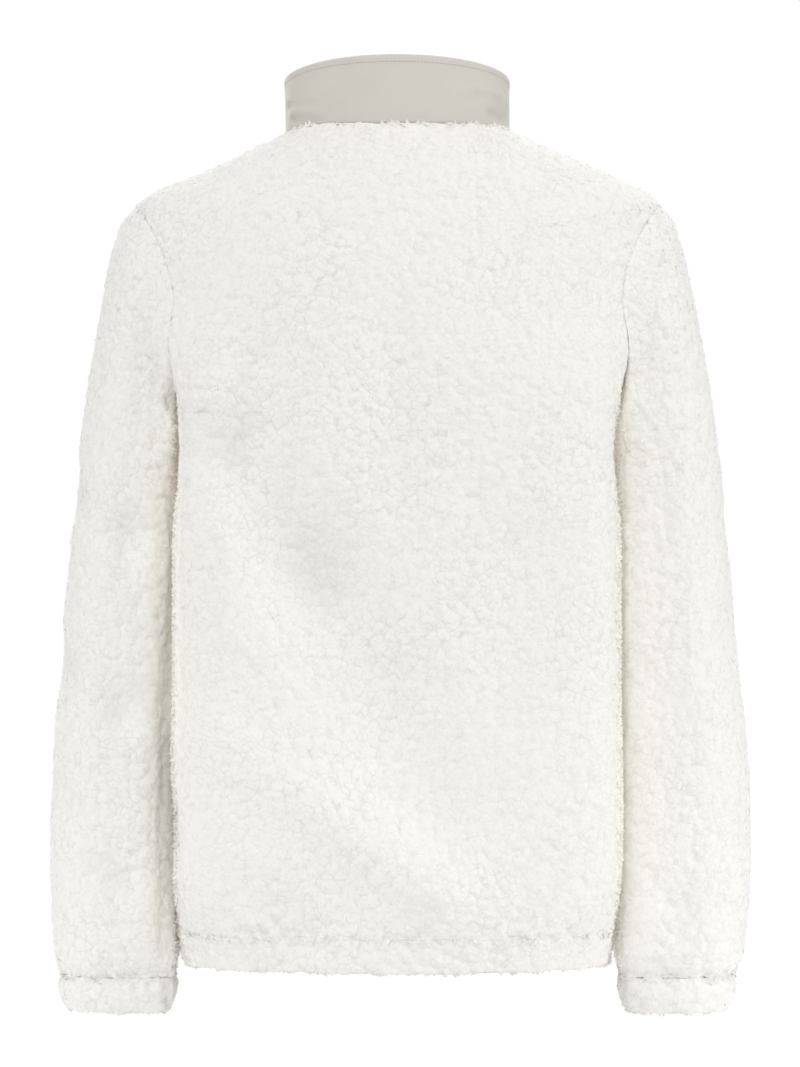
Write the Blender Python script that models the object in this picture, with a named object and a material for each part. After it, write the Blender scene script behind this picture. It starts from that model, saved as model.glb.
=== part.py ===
"""Sherpa jacket with a stand collar, zipped up and filled out as if worn (metres, +Z up, front to -Y).

Every cut piece is its own closed wall. The torso is a stack of level-ish rings from hem to neck, the
sleeves are rings from armhole to wrist, and the seams are shared lines with a small gap between pieces.
"""
import math

import bmesh
import bpy
from mathutils import Vector

# ---------------------------------------------------------------- driving sizes
SHERPA_WALL = 0.005        # knitted backing and pile together
BAND_WALL = 0.006          # hem casing and cuffs, turned double
COLLAR_WALL = 0.003        # two layers of woven cloth
COLLAR_INSET = 0.0012      # the collar starts this far inside the pile's face
SEAM_GAP = 0.0003          # clear space between neighbouring pieces
ZIP_HALF_GAP = 0.008       # front edges stand this far from the centre line
TAPE_DEPTH = 0.0024        # zip tape below the pile's face
TAPE_WALL = 0.0012
ARMHOLE_HALF_ANGLE = math.radians(20.0)
SLEEVE_SQUARE = (2.3, 6.0)   # of a sleeve ring's outer and inner half

BACK_COLUMNS = 20          # facets across the back panel
ARM_STEPS = 9              # facets down each half of the armhole, so twice that round a sleeve

# Torso rings, hem to neck. z of the side, centre-back and centre-front points; half width; depth
# behind and in front of the side points; squareness of the outline; slope along Y at the side.
TORSO_COLUMNS = ("name", "side_z", "back_z", "front_z", "half_width",
                 "back_y", "front_y", "square", "slope", "steps")
TORSO_ROWS = (
    ("hem",      -0.675,  -0.675, -0.675, 0.1745, 0.111, 0.110, 2.50, 0.00, 2),
    ("casing",   -0.647,  -0.647, -0.647, 0.1765, 0.116, 0.115, 3.20, 0.00, 2),
    ("low",      -0.590,  -0.590, -0.590, 0.1792, 0.122, 0.121, 7.00, 0.00, 5),
    ("waist",    -0.450,  -0.450, -0.450, 0.1789, 0.119, 0.122, 7.00, 0.00, 4),
    ("chest",    -0.330,  -0.330, -0.330, 0.1785, 0.122, 0.127, 7.00, 0.00, 3),
    ("armpit",   -0.228,  -0.228, -0.232, 0.1775, 0.125, 0.130, 5.50, 0.00, 0),
    ("blade",    -0.148,  -0.162, -0.190, 0.2010, 0.122, 0.128, 2.60, 0.01, 0),
    ("tip",      -0.0570, -0.088, -0.140, 0.2140, 0.110, 0.120, 1.88, 0.04, 2),
    ("shoulder", -0.0330, -0.048, -0.103, 0.1720, 0.096, 0.110, 1.92, 0.10, 2),
    ("slope",    -0.0150, -0.017, -0.071, 0.1320, 0.082, 0.098, 1.97, 0.18, 2),
    ("neck",      0.0010,  0.006, -0.045, 0.0935, 0.068, 0.0855, 2.00, 0.26, 0),
)

# Collar rings, seam to top edge, in the same terms as the torso rings.
COLLAR_COLUMNS = ("name", "side_z", "back_z", "front_z", "half_width",
                  "back_y", "front_y", "square", "slope")
COLLAR_TOP = ("top", 0.0460, 0.0625, 0.010, 0.0920, 0.062, 0.0843, 2.05, 0.24)

# Sleeve rings, shoulder to wrist. The outer and inner points of each ring, for the wearer's left and
# right where they differ; half depth along Y; y of the ring's middle.
SLEEVE_COLUMNS = ("name", "out_left", "out_right", "out_z", "in_x", "in_z", "half_depth", "mid_y", "steps")
SLEEVE_ROWS = (
    ("crown",   0.2260, 0.2270, -0.0700, 0.1800, -0.2350, 0.0640, -0.003, 1),
    ("head",    0.2350, 0.2365, -0.1000, 0.1799, -0.2450, 0.0670, -0.007, 1),
    ("upper",   0.2435, 0.2460, -0.1450, 0.1799, -0.2620, 0.0695, -0.011, 1),
    ("bicep",   0.2530, 0.2560, -0.2000, 0.1798, -0.2880, 0.0710, -0.013, 1),
    ("arm",     0.2620, 0.2650, -0.2650, 0.1797, -0.3330, 0.0710, -0.013, 2),
    ("above",   0.2690, 0.2720, -0.3400, 0.1797, -0.3820, 0.0695, -0.013, 2),
    ("elbow",   0.2760, 0.2790, -0.4200, 0.1798, -0.4430, 0.0675, -0.013, 3),
    ("forearm", 0.2830, 0.2895, -0.5250, 0.1802, -0.5320, 0.0635, -0.013, 2),
    ("lower",   0.2845, 0.2900, -0.6000, 0.1802, -0.6020, 0.0600, -0.012, 1),
    ("blouse",  0.2825, 0.2870, -0.6450, 0.1800, -0.6450, 0.0570, -0.012, 1),
    ("nip",     0.2800, 0.2825, -0.6730, 0.1810, -0.6730, 0.0530, -0.012, 1),
    ("wrist",   0.2755, 0.2765, -0.6850, 0.1840, -0.6850, 0.0470, -0.012, 0),
)
CUFF_ROWS = (
    ("top",     0.2755, 0.2765, -0.6850, 0.1840, -0.6850, 0.0470, -0.012, 1),
    ("swell",   0.2775, 0.2785, -0.6970, 0.1820, -0.6970, 0.0485, -0.012, 1),
    ("end",     0.2700, 0.2705, -0.7150, 0.1870, -0.7150, 0.0440, -0.012, 0),
)

# The largest folds: a soft ridge (height > 0) or trough (height < 0) along a line near the surface.
FOLD_COLUMNS = ("x0", "y0", "z0", "x1", "y1", "z1", "half_width", "height")
FOLDS = (
    (0.107, 0.115, -0.190, 0.128, 0.110, -0.265, 0.030, -0.0035),
    (0.128, 0.110, -0.265, 0.062, 0.122, -0.370, 0.030, -0.0040),
    (-0.003, 0.122, -0.200, -0.028, 0.120, -0.540, 0.038, -0.0040),
    (0.150, 0.085, -0.540, -0.044, 0.121, -0.620, 0.030, 0.0040),
    (-0.110, 0.110, -0.360, -0.070, 0.120, -0.520, 0.034, -0.0030),
    (0.160, 0.030, -0.046, 0.062, 0.070, -0.055, 0.018, -0.0025),
    (-0.130, -0.105, -0.230, -0.060, -0.125, -0.420, 0.032, -0.0040),
    (0.125, -0.105, -0.260, 0.050, -0.125, -0.500, 0.032, -0.0040),
    (0.120, -0.095, -0.600, 0.030, -0.122, -0.520, 0.028, 0.0035),
    (0.215, 0.060, -0.330, 0.260, 0.000, -0.290, 0.020, -0.0030),
    (0.225, 0.048, -0.470, 0.270, 0.005, -0.430, 0.022, -0.0030),
    (0.215, 0.040, -0.600, 0.262, 0.025, -0.540, 0.022, -0.0030),
    (-0.190, 0.055, -0.262, -0.240, 0.055, -0.218, 0.018, -0.0035),
    (-0.215, 0.045, -0.450, -0.262, 0.030, -0.410, 0.022, -0.0030),
    (-0.225, 0.035, -0.620, -0.270, 0.020, -0.560, 0.022, -0.0030),
    (-0.165, 0.000, -0.034, -0.200, 0.000, -0.050, 0.030, 0.0026),
    (0.105, 0.000, -0.010, 0.135, 0.000, -0.020, 0.034, -0.0050),
)

# Zip slider and pull. The slider stands upright on the collar's front, just under its top edge.
SLIDER_Z = -0.003          # middle of the slider
SLIDER_HALF_WIDTH = 0.0042
SLIDER_HALF_LENGTH = 0.006
SLIDER_PLATE = 0.0012
CHAIN_CLEAR = 0.0009       # outer plate's underside below the pile's face
CHAIN_DEPTH = 0.0042       # room between the two plates
LUG_HALF_WIDTH = 0.0009
LUG_HALF_LENGTH = 0.0025
LUG_RISE = 0.0036
LUG_BAR = 0.0009
HINGE_RISE = 0.0012        # pull's cross bar above the outer plate
PULL_WALL = 0.0013
PULL_HALF_WIDTH = 0.0030
PULL_LENGTH = 0.0290
WINDOW_HALF_WIDTH = 0.0014
WINDOW_END = 0.0042
BOX_HALF_WIDTH = 0.0045
BOX_HEIGHT = 0.0085

# colour (linear), roughness, metallic
MATERIALS = {
    "sherpa": ((0.86, 0.83, 0.78), 0.95, 0.0),
    "nylon": ((0.60, 0.58, 0.52), 0.55, 0.0),
    "tape": ((0.55, 0.53, 0.47), 0.80, 0.0),
    "zip_metal": ((0.50, 0.49, 0.46), 0.35, 0.9),
}


# ---------------------------------------------------------------- tables and interpolation
def as_records(columns, rows):
    """Table rows as dictionaries keyed by column name."""
    return [dict(zip(columns, row)) for row in rows]


def cubic(keys, values, key):
    """Value at key on a smooth curve through (keys, values), with parabola-fit tangents."""
    span = max(i for i in range(len(keys) - 1) if i == 0 or keys[i] <= key)
    steps = [b - a for a, b in zip(keys, keys[1:])]
    slopes = [(b - a) / h for a, b, h in zip(values, values[1:], steps)]

    def tangent(i):
        if i == 0:
            return slopes[0]
        if i == len(slopes):
            return slopes[-1]
        near, far = steps[i - 1], steps[i]
        return (far * slopes[i - 1] + near * slopes[i]) / (near + far)

    h = steps[span]
    u = (key - keys[span]) / h
    start = values[span] * (1 + 2 * u) * (1 - u) ** 2 + tangent(span) * h * u * (1 - u) ** 2
    end = values[span + 1] * u * u * (3 - 2 * u) + tangent(span + 1) * h * u * u * (u - 1)
    return start + end


def blend_records(records, keys, key):
    """One record whose numbers are the smooth blend of the table at key."""
    names = [name for name in records[0] if isinstance(records[0][name], float)]
    return {name: cubic(keys, [record[name] for record in records], key) for name in names}


def running_length(points):
    """Distance from the first point to each point."""
    total = [0.0]
    for a, b in zip(points, points[1:]):
        total.append(total[-1] + (b - a).length)
    return total


TORSO = as_records(TORSO_COLUMNS, TORSO_ROWS)
TORSO_KEYS = running_length([Vector((row["half_width"], row["side_z"])) for row in TORSO])
TORSO_NAMES = [row["name"] for row in TORSO]
KEY = dict(zip(TORSO_NAMES, TORSO_KEYS))
FOLD_LINES = as_records(FOLD_COLUMNS, FOLDS)


# ---------------------------------------------------------------- surfaces
def ring_point(ring, angle):
    """Point of a torso or collar ring at an angle from +X: a squared oval, tilted front to back."""
    depth = ring["back_y"] if math.sin(angle) >= 0 else ring["front_y"]
    end_z = ring["back_z"] if math.sin(angle) >= 0 else ring["front_z"]
    n = ring["square"]
    across = abs(math.cos(angle) / ring["half_width"]) ** n
    along = abs(math.sin(angle) / depth) ** n
    radius = (across + along) ** (-1 / n)
    y = radius * math.sin(angle)
    lean = ring["slope"] * y
    full_lean = ring["slope"] * depth * math.copysign(1, y)
    z = ring["side_z"] + lean + (end_z - ring["side_z"] - full_lean) * (y / depth) ** 2
    return Vector((radius * math.cos(angle), y, z))


def fold_height(point):
    """How far the largest folds lift the cloth at a point."""
    total = 0.0
    for fold in FOLD_LINES:
        start = Vector((fold["x0"], fold["y0"], fold["z0"]))
        line = Vector((fold["x1"], fold["y1"], fold["z1"])) - start
        share = max(0.0, min(1.0, (point - start).dot(line) / line.length_squared))
        away = (point - start - share * line).length / fold["half_width"]
        total += fold["height"] * math.exp(-away * away)
    return total


def torso_base(angle, key):
    return ring_point(blend_records(TORSO, TORSO_KEYS, key), angle)


def normal_of(surface, u, v, du=0.01, dv=0.002):
    """Outward unit normal of surface(u, v)."""
    along_u = surface(u + du, v) - surface(u - du, v)
    along_v = surface(u, v + dv) - surface(u, v - dv)
    return along_u.cross(along_v).normalized()


def torso_normal(angle, key):
    inside = min(max(key, 0.002), TORSO_KEYS[-1] - 0.002)
    return normal_of(torso_base, angle, inside)


def mirrored(point, side):
    """The point for the wearer's left (side 1) or right (side -1)."""
    return Vector((point.x * side, point.y, point.z))


def torso_point(angle, key, side=1):
    """Pile's face of the torso in the left half's terms, with the folds of the given side."""
    base = torso_base(angle, key)
    return base + fold_height(mirrored(base, side)) * torso_normal(angle, key)


def armhole_edge(turn):
    """Ring angle and key of the armhole at a turn: 0 at the shoulder tip, pi at the armpit."""
    middle = (KEY["tip"] + KEY["armpit"]) / 2
    half = (KEY["tip"] - KEY["armpit"]) / 2
    return ARMHOLE_HALF_ANGLE * math.sin(turn), middle + half * math.cos(turn)


def armhole_point(turn, side):
    return torso_point(*armhole_edge(turn), side)


def armhole_inward(turn, side):
    """Unit direction in the YZ plane, square to the armhole's edge and towards its middle."""
    run = armhole_point(turn + 0.02, side) - armhole_point(turn - 0.02, side)
    inward = Vector((0.0, run.z, -run.y)).normalized()
    middle = (armhole_point(0.0, side) + armhole_point(math.pi, side)) / 2
    return inward if inward.dot(middle - armhole_point(turn, side)) > 0 else -inward


# ---------------------------------------------------------------- building closed walls
def material(name):
    """The named finish, made once."""
    if name in bpy.data.materials:
        return bpy.data.materials[name]
    colour, roughness, metallic = MATERIALS[name]
    finish = bpy.data.materials.new(name)
    finish.use_nodes = True
    shader = finish.node_tree.nodes["Principled BSDF"]
    shader.inputs["Base Color"].default_value = (*colour, 1)
    shader.inputs["Roughness"].default_value = roughness
    shader.inputs["Metallic"].default_value = metallic
    return finish


def add_object(name, mesh, finish):
    mesh.materials.clear()
    mesh.materials.append(material(finish))
    obj = bpy.data.objects.new(name, mesh)
    bpy.data.collections["sherpa_jacket"].objects.link(obj)
    return obj


def wall(name, outer, inner, finish, closed=False):
    """Closed wall between two grids of points: rows of equal length, joined round when closed."""
    bm = bmesh.new()
    faces = []
    sheets = [[[bm.verts.new(point) for point in row] for row in grid] for grid in (outer, inner)]
    columns = len(outer[0])
    spans = columns if closed else columns - 1
    for sheet in sheets:
        for low, high in zip(sheet, sheet[1:]):
            for i in range(spans):
                j = (i + 1) % columns
                faces.append((low[i], low[j], high[j], high[i]))
    front, back = sheets
    for row in (0, -1):
        for i in range(spans):
            j = (i + 1) % columns
            faces.append((front[row][i], front[row][j], back[row][j], back[row][i]))
    if not closed:
        for column in (0, -1):
            for r in range(len(outer) - 1):
                faces.append((front[r][column], front[r + 1][column],
                              back[r + 1][column], back[r][column]))
    for face in faces:
        bm.faces.new(face)
    bmesh.ops.recalc_face_normals(bm, faces=bm.faces)
    bmesh.ops.triangulate(bm, faces=bm.faces, quad_method="SHORT_EDGE")
    mesh = bpy.data.meshes.new(name)
    bm.to_mesh(mesh)
    bm.free()
    mesh.shade_smooth()
    mesh.set_sharp_from_angle(angle=math.radians(40))
    return add_object(name, mesh, finish)


# ---------------------------------------------------------------- torso panels
def keys_between(first, last):
    """Ring keys from one named ring to another, with each row's own number of steps."""
    keys = [KEY[first]]
    for row, following in zip(TORSO, TORSO[1:]):
        if KEY[first] <= KEY[row["name"]] < KEY[last]:
            for step in range(row["steps"]):
                share = (step + 1) / row["steps"]
                keys.append(KEY[row["name"]] + share * (KEY[following["name"]] - KEY[row["name"]]))
    return keys


def panel_stations():
    """(key, armhole turn or None) of each row of a panel, from the hem casing to the neck."""
    below = [(key, None) for key in keys_between("casing", "armpit")][:-1]
    turns = [math.pi * (1 - step / ARM_STEPS) for step in range(ARM_STEPS + 1)]
    beside = [(armhole_edge(turn)[1], turn) for turn in turns]
    above = [(key, None) for key in keys_between("tip", "neck")][1:]
    return below + beside + above


def neck_rim(angle, side=1):
    """Pile's neck point, the rim's inward direction and the way up into the collar."""
    point = torso_point(angle, KEY["neck"], side)
    outward = Vector((math.cos(angle) * 0.068, math.sin(angle) * 0.0925, 0.0)).normalized()
    inward = -(torso_normal(angle, KEY["neck"]) + outward).normalized()
    before = torso_point(angle - 0.01, KEY["neck"], side)
    around = torso_point(angle + 0.01, KEY["neck"], side) - before
    upward = around.cross(inward).normalized()
    return point, inward, upward if upward.z > 0 else -upward


def panel_rim(angle, key, turn, side, wall_size):
    """Offset from the pile's face to the cloth's inner face at a panel point."""
    if turn is not None:
        inward = armhole_inward(turn, side)
        if abs(abs(turn) - math.pi) < 1e-6:
            return (inward - torso_normal(angle, key)).normalized() * wall_size
        return inward * wall_size
    if abs(key - KEY["neck"]) < 1e-6:
        return neck_rim(angle, side)[1] * wall_size
    return -torso_normal(angle, key) * wall_size


def front_angle(key):
    """Ring angle of the front edge, beside the zip."""
    ring = blend_records(TORSO, TORSO_KEYS, key)
    return -math.pi / 2 + math.atan2(ZIP_HALF_GAP, ring["front_y"])


def panel_row(key, turn, half, side, columns, wall_size):
    """One row of outer and inner points: half 1 is the back, -1 the front, from the side inwards."""
    edge = armhole_edge(turn)[0] if turn is not None else 0.0
    start = half * abs(edge)
    end = math.pi / 2 if half > 0 else front_angle(key)
    outer, inner = [], []
    for column in range(columns + 1):
        angle = start + (end - start) * column / columns
        point = torso_point(angle, key, side)
        at_edge = half * turn if column == 0 and turn is not None else None
        offset = panel_rim(angle, key, at_edge, side, wall_size)
        if column == 0 and abs(start) < 1e-6:
            point = point + Vector((0, half * SEAM_GAP / 2, 0))
        if column == columns:
            offset = Vector((0.0, offset.y, offset.z)).normalized() * wall_size
            point.x = 0.0 if half > 0 else ZIP_HALF_GAP
        outer.append(mirrored(point, side))
        inner.append(mirrored(point + offset, side))
    return outer, inner


def shifted_rim(rows, index, shift):
    """Move one row of points, to open the gap at a seam."""
    rows[index] = [point + shift for point in rows[index]]


def half_panel(stations, half, side, wall_size, gap_row, gap):
    """Outer and inner grids of one side's half of the back or front, from the side seam inwards."""
    columns = BACK_COLUMNS // 2
    rows = [panel_row(key, turn, half, side, columns, wall_size) for key, turn in stations]
    grids = [row[0] for row in rows], [row[1] for row in rows]
    for grid in grids:
        shifted_rim(grid, gap_row, Vector((0, 0, gap)))
    return grids


def build_torso_piece(prefix, stations, wall_size, gap_row, gap):
    """The back and the two fronts of one level of the torso."""
    left = half_panel(stations, 1, 1, wall_size, gap_row, gap)
    right = half_panel(stations, 1, -1, wall_size, gap_row, gap)
    whole = [[row + other[-2::-1] for row, other in zip(*grids)] for grids in zip(left, right)]
    wall(prefix + "back", *whole, "sherpa")
    for side, label in ((1, "left"), (-1, "right")):
        wall(prefix + "front_" + label, *half_panel(stations, -1, side, wall_size, gap_row, gap), "sherpa")


# ---------------------------------------------------------------- sleeves and cuffs
def sleeve_ring_point(ring, side, turn):
    """Point of a sleeve ring for the wearer's left form: turn 0 outer, pi inner, pi/2 back."""
    out_x = ring["out_left"] if side > 0 else ring["out_right"]
    outer = Vector((out_x, ring["mid_y"], ring["out_z"]))
    inner = Vector((ring["in_x"], ring["mid_y"], ring["in_z"]))
    reach = (outer - inner) / 2
    square = SLEEVE_SQUARE[0 if math.cos(turn) > 0 else 1]
    radius = (abs(math.cos(turn)) ** square + abs(math.sin(turn)) ** square) ** (-1 / square)
    across = Vector((0, ring["half_depth"], 0))
    return (outer + inner) / 2 + radius * (math.cos(turn) * reach + math.sin(turn) * across)


def tube_grids(rows, side, wall_size, first_ring=None):
    """Outer and inner grids down a sleeve or cuff; first_ring is its own (outer, inner) pair."""
    records = as_records(SLEEVE_COLUMNS, rows)
    middles = [Vector(((row["out_left"] + row["in_x"]) / 2, (row["out_z"] + row["in_z"]) / 2))
               for row in records]
    keys = running_length(middles)
    turns = [math.pi * step / ARM_STEPS for step in range(2 * ARM_STEPS)]
    stations = []
    for index, row in enumerate(records):
        stations.append(keys[index])
        for step in range(1, row["steps"]):
            stations.append(keys[index] + (keys[index + 1] - keys[index]) * step / row["steps"])

    def face(turn, key):
        inside = min(max(key, 0.0), keys[-1])
        return sleeve_ring_point(blend_records(records, keys, inside), side, turn)

    outer, inner = [], []
    if first_ring:
        outer.append(first_ring[0])
        inner.append(first_ring[1])
    for key in stations:
        held = min(max(key, 0.002), keys[-1] - 0.002)
        outer_row, inner_row = [], []
        for turn in turns:
            base = face(turn, key)
            inward = normal_of(face, turn, held)
            lift = fold_height(mirrored(base, side))
            outer_row.append(base - lift * inward)
            inner_row.append(base - lift * inward + wall_size * inward)
        outer.append(outer_row)
        inner.append(inner_row)
    return outer, inner


def armhole_ring(side):
    """Sleeve's own ring at the armhole seam, just outside the torso's rim."""
    turns = [math.pi * step / ARM_STEPS for step in range(2 * ARM_STEPS)]
    step_out = Vector((SEAM_GAP, 0, 0))
    outer = [armhole_point(turn, side) + step_out for turn in turns]
    inner = [point + SHERPA_WALL * armhole_inward(turn, side) for point, turn in zip(outer, turns)]
    return outer, inner


def build_sleeve(name, rows, side, wall_size, first_ring=None, drop=0.0):
    grids = tube_grids(rows, side, wall_size, first_ring)
    for grid in grids:
        if first_ring is None:
            shifted_rim(grid, 0, Vector((0, 0, -drop)))
    outer, inner = ([[mirrored(point, side) for point in row] for row in grid] for grid in grids)
    wall(name, outer, inner, "sherpa", closed=True)


# ---------------------------------------------------------------- collar and zip
COLLAR_RISES = (0.0, 0.2, 0.45, 0.75, 1.0)
COLLAR_FACETS = 28


def collar_point(angle, rise):
    """Collar's outer face: from the neck seam straight up to the top ring."""
    point, inward, upward = neck_rim(angle)
    base = point + COLLAR_INSET * inward + SEAM_GAP * upward
    top = ring_point(dict(zip(COLLAR_COLUMNS, COLLAR_TOP)), angle)
    return base.lerp(top, rise)


def collar_normal(angle, rise):
    held = min(max(rise, 0.05), 0.95)
    return normal_of(collar_point, angle, held, dv=0.04)


def build_collar():
    edge = math.atan2(ZIP_HALF_GAP, COLLAR_TOP[6])
    start = -math.pi / 2 + edge
    end = 3 * math.pi / 2 - edge
    outer, inner = [], []
    for rise in COLLAR_RISES:
        outer_row, inner_row = [], []
        for facet in range(COLLAR_FACETS + 1):
            angle = start + (end - start) * facet / COLLAR_FACETS
            point = collar_point(angle, rise)
            offset = -collar_normal(angle, rise)
            if rise == 0.0:
                offset = neck_rim(angle)[1]
            if facet in (0, COLLAR_FACETS):
                offset = Vector((0.0, offset.y, offset.z)).normalized()
                point.x = math.copysign(ZIP_HALF_GAP, point.x)
            outer_row.append(point)
            inner_row.append(point + COLLAR_WALL * offset)
        outer.append(outer_row)
        inner.append(inner_row)
    wall("collar", outer, inner, "nylon")


def front_profile():
    """Pile's face down the centre front, collar top to just above the zip's bottom box, as (y, z)."""
    straight = -math.pi / 2
    points = [collar_point(straight, rise) for rise in reversed(COLLAR_RISES)]
    points = [point + Vector((0, -COLLAR_INSET, 0)) for point in points[:-1]]
    keys = keys_between("hem", "armpit") + [key for key, turn in panel_stations() if key > KEY["armpit"]]
    body = [torso_point(straight, key) for key in sorted(keys, reverse=True)]
    end_z = TORSO[0]["side_z"] + BOX_HEIGHT + SEAM_GAP
    body = [point for point in body if point.z > end_z + 0.002]
    last = body[-1].copy()
    last.z = end_z
    return [Vector((0.0, point.y, point.z)) for point in points + body + [last]]


def build_tapes():
    """Two strips of tape between the front edges, meeting along the centre line."""
    profile = front_profile()
    parting = SLIDER_Z - 0.001
    outer, inner = [], []
    for index, point in enumerate(profile):
        before = profile[max(index - 1, 0)]
        after = profile[min(index + 1, len(profile) - 1)]
        run = (after - before).normalized()
        inward = Vector((0.0, -run.z, run.y))
        near = 0.0022 if point.z > parting else SEAM_GAP / 2
        ends = (near, ZIP_HALF_GAP - SEAM_GAP)
        face = point + TAPE_DEPTH * inward
        outer.append([Vector((x, face.y, face.z)) for x in ends])
        inner.append([Vector((x, face.y, face.z)) + TAPE_WALL * inward for x in ends])
    for side, label in ((1, "left"), (-1, "right")):
        grids = ([[mirrored(point, side) for point in row] for row in grid] for grid in (outer, inner))
        wall("zip_tape_" + label, *grids, "tape")


def box_mesh(name, low, high):
    """A block between two corners, as a fresh object outside every collection."""
    size = Vector(high) - Vector(low)
    bm = bmesh.new()
    bmesh.ops.create_cube(bm, size=1.0)
    bmesh.ops.scale(bm, vec=size, verts=bm.verts)
    bmesh.ops.translate(bm, vec=(Vector(low) + Vector(high)) / 2, verts=bm.verts)
    mesh = bpy.data.meshes.new(name)
    bm.to_mesh(mesh)
    bm.free()
    return bpy.data.objects.new(name, mesh)


def join_blocks(name, blocks, finish, origin=Vector()):
    """One body from overlapping blocks, by exact unions, with its origin where asked."""
    bodies = [box_mesh(name + "_block", low, high) for low, high in blocks]
    for body in bodies:
        bpy.data.collections["cutters"].objects.link(body)
        body.hide_render = True
        body.display_type = "WIRE"
    first = bodies[0]
    for other in bodies[1:]:
        union = first.modifiers.new("union", "BOOLEAN")
        union.operation = "UNION"
        union.object = other
    shape = first.evaluated_get(bpy.context.evaluated_depsgraph_get())
    bpy.context.view_layer.update()
    shape = first.evaluated_get(bpy.context.evaluated_depsgraph_get())
    mesh = bpy.data.meshes.new_from_object(shape)
    for body in bodies:
        bpy.data.objects.remove(body)
    for vertex in mesh.vertices:
        vertex.co -= origin
    obj = add_object(name, mesh, finish)
    obj.location = origin
    return obj


def slider_face_y():
    """y of the pile's face in front of the slider."""
    return front_profile()[1].y


def build_slider():
    """Two plates round the chain, the bridge between them, side lips and the pull's lug."""
    plate_top = slider_face_y() + CHAIN_CLEAR - SLIDER_PLATE
    under = plate_top + SLIDER_PLATE + CHAIN_DEPTH
    w, l, z = SLIDER_HALF_WIDTH, SLIDER_HALF_LENGTH, SLIDER_Z
    lip = 0.0007
    reach = TAPE_DEPTH - CHAIN_CLEAR - SEAM_GAP
    blocks = [((-w, plate_top, z - l), (w, plate_top + SLIDER_PLATE, z + l)),
              ((-w, under, z - l), (w, under + SLIDER_PLATE, z + l)),
              ((-0.0017, plate_top + 0.0005, z + l - 0.0042), (0.0017, under + 0.0005, z + l - 0.0005))]
    for side in (1, -1):
        low_x, high_x = sorted((side * (w - lip), side * w))
        blocks.append(((low_x, plate_top + 0.0004, z - l), (high_x, plate_top + SLIDER_PLATE + reach, z + l)))
        blocks.append(((low_x, under - 0.0006, z - l), (high_x, under + 0.0006, z + l)))
    lug_z = z + 0.0015
    lug_face = plate_top - LUG_RISE
    for end in (1, -1):
        low_z, high_z = sorted((lug_z + end * LUG_HALF_LENGTH, lug_z + end * (LUG_HALF_LENGTH - LUG_BAR)))
        blocks.append(((-LUG_HALF_WIDTH, lug_face, low_z), (LUG_HALF_WIDTH, plate_top + 0.0004, high_z)))
    blocks.append(((-LUG_HALF_WIDTH, lug_face, lug_z - LUG_HALF_LENGTH),
                   (LUG_HALF_WIDTH, lug_face + LUG_BAR, lug_z + LUG_HALF_LENGTH)))
    join_blocks("zip_slider", blocks, "zip_metal")
    return Vector((0.0, plate_top - HINGE_RISE, lug_z))


def build_pull(hinge):
    """Flat pull with a window at its top; the bar above the window turns inside the slider's lug."""
    half = PULL_WALL / 2
    top = half
    blocks = [((-PULL_HALF_WIDTH, -half, -half), (PULL_HALF_WIDTH, half, top)),
              ((-PULL_HALF_WIDTH, -half, -PULL_LENGTH), (PULL_HALF_WIDTH, half, -WINDOW_END))]
    for side in (1, -1):
        low_x, high_x = sorted((side * WINDOW_HALF_WIDTH, side * PULL_HALF_WIDTH))
        blocks.append(((low_x, -half, -WINDOW_END - 0.001), (high_x, half, 0.0)))
    placed = [(Vector(low) + hinge, Vector(high) + hinge) for low, high in blocks]
    join_blocks("zip_pull", placed, "zip_metal", hinge)


def build_box():
    """Retainer box at the zip's foot, below the ends of both tapes."""
    profile = front_profile()
    face = profile[-1].y + TAPE_DEPTH + TAPE_WALL / 2
    foot = TORSO[0]["side_z"]
    block = ((-BOX_HALF_WIDTH, face - 0.0018, foot), (BOX_HALF_WIDTH, face + 0.0018, foot + BOX_HEIGHT))
    join_blocks("zip_box", [block], "zip_metal")


# ---------------------------------------------------------------- the jacket
def clear_scene():
    for obj in list(bpy.data.objects):
        bpy.data.objects.remove(obj)
    for name in ("sherpa_jacket", "cutters"):
        collection = bpy.data.collections.new(name)
        bpy.context.scene.collection.children.link(collection)


def main():
    clear_scene()
    build_torso_piece("", panel_stations(), SHERPA_WALL, 0, SEAM_GAP)
    hem_stations = [(key, None) for key in keys_between("hem", "casing")]
    build_torso_piece("hem_", hem_stations, BAND_WALL, -1, 0.0)
    for side, label in ((1, "left"), (-1, "right")):
        build_sleeve("sleeve_" + label, SLEEVE_ROWS, side, SHERPA_WALL, first_ring=armhole_ring(side))
        build_sleeve("cuff_" + label, CUFF_ROWS, side, BAND_WALL, drop=SEAM_GAP)
    build_collar()
    build_tapes()
    build_box()
    hinge = build_slider()
    build_pull(hinge)
    print("pieces:", len(bpy.data.collections["sherpa_jacket"].objects))
    print("hinge:", tuple(round(value, 5) for value in hinge))


main()
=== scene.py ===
# %% [markdown]
# # A cream sherpa jacket
# The jacket is zipped up and filled out as if someone wore it. Its cloth is a knitted backing with a
# thick, curly pile, and its stand collar is plain woven nylon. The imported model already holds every
# cut piece as a plain wall. This lesson gives each of them its real surface: pile, seams, gathers,
# creases, weave, stitches and a working zip.

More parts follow.
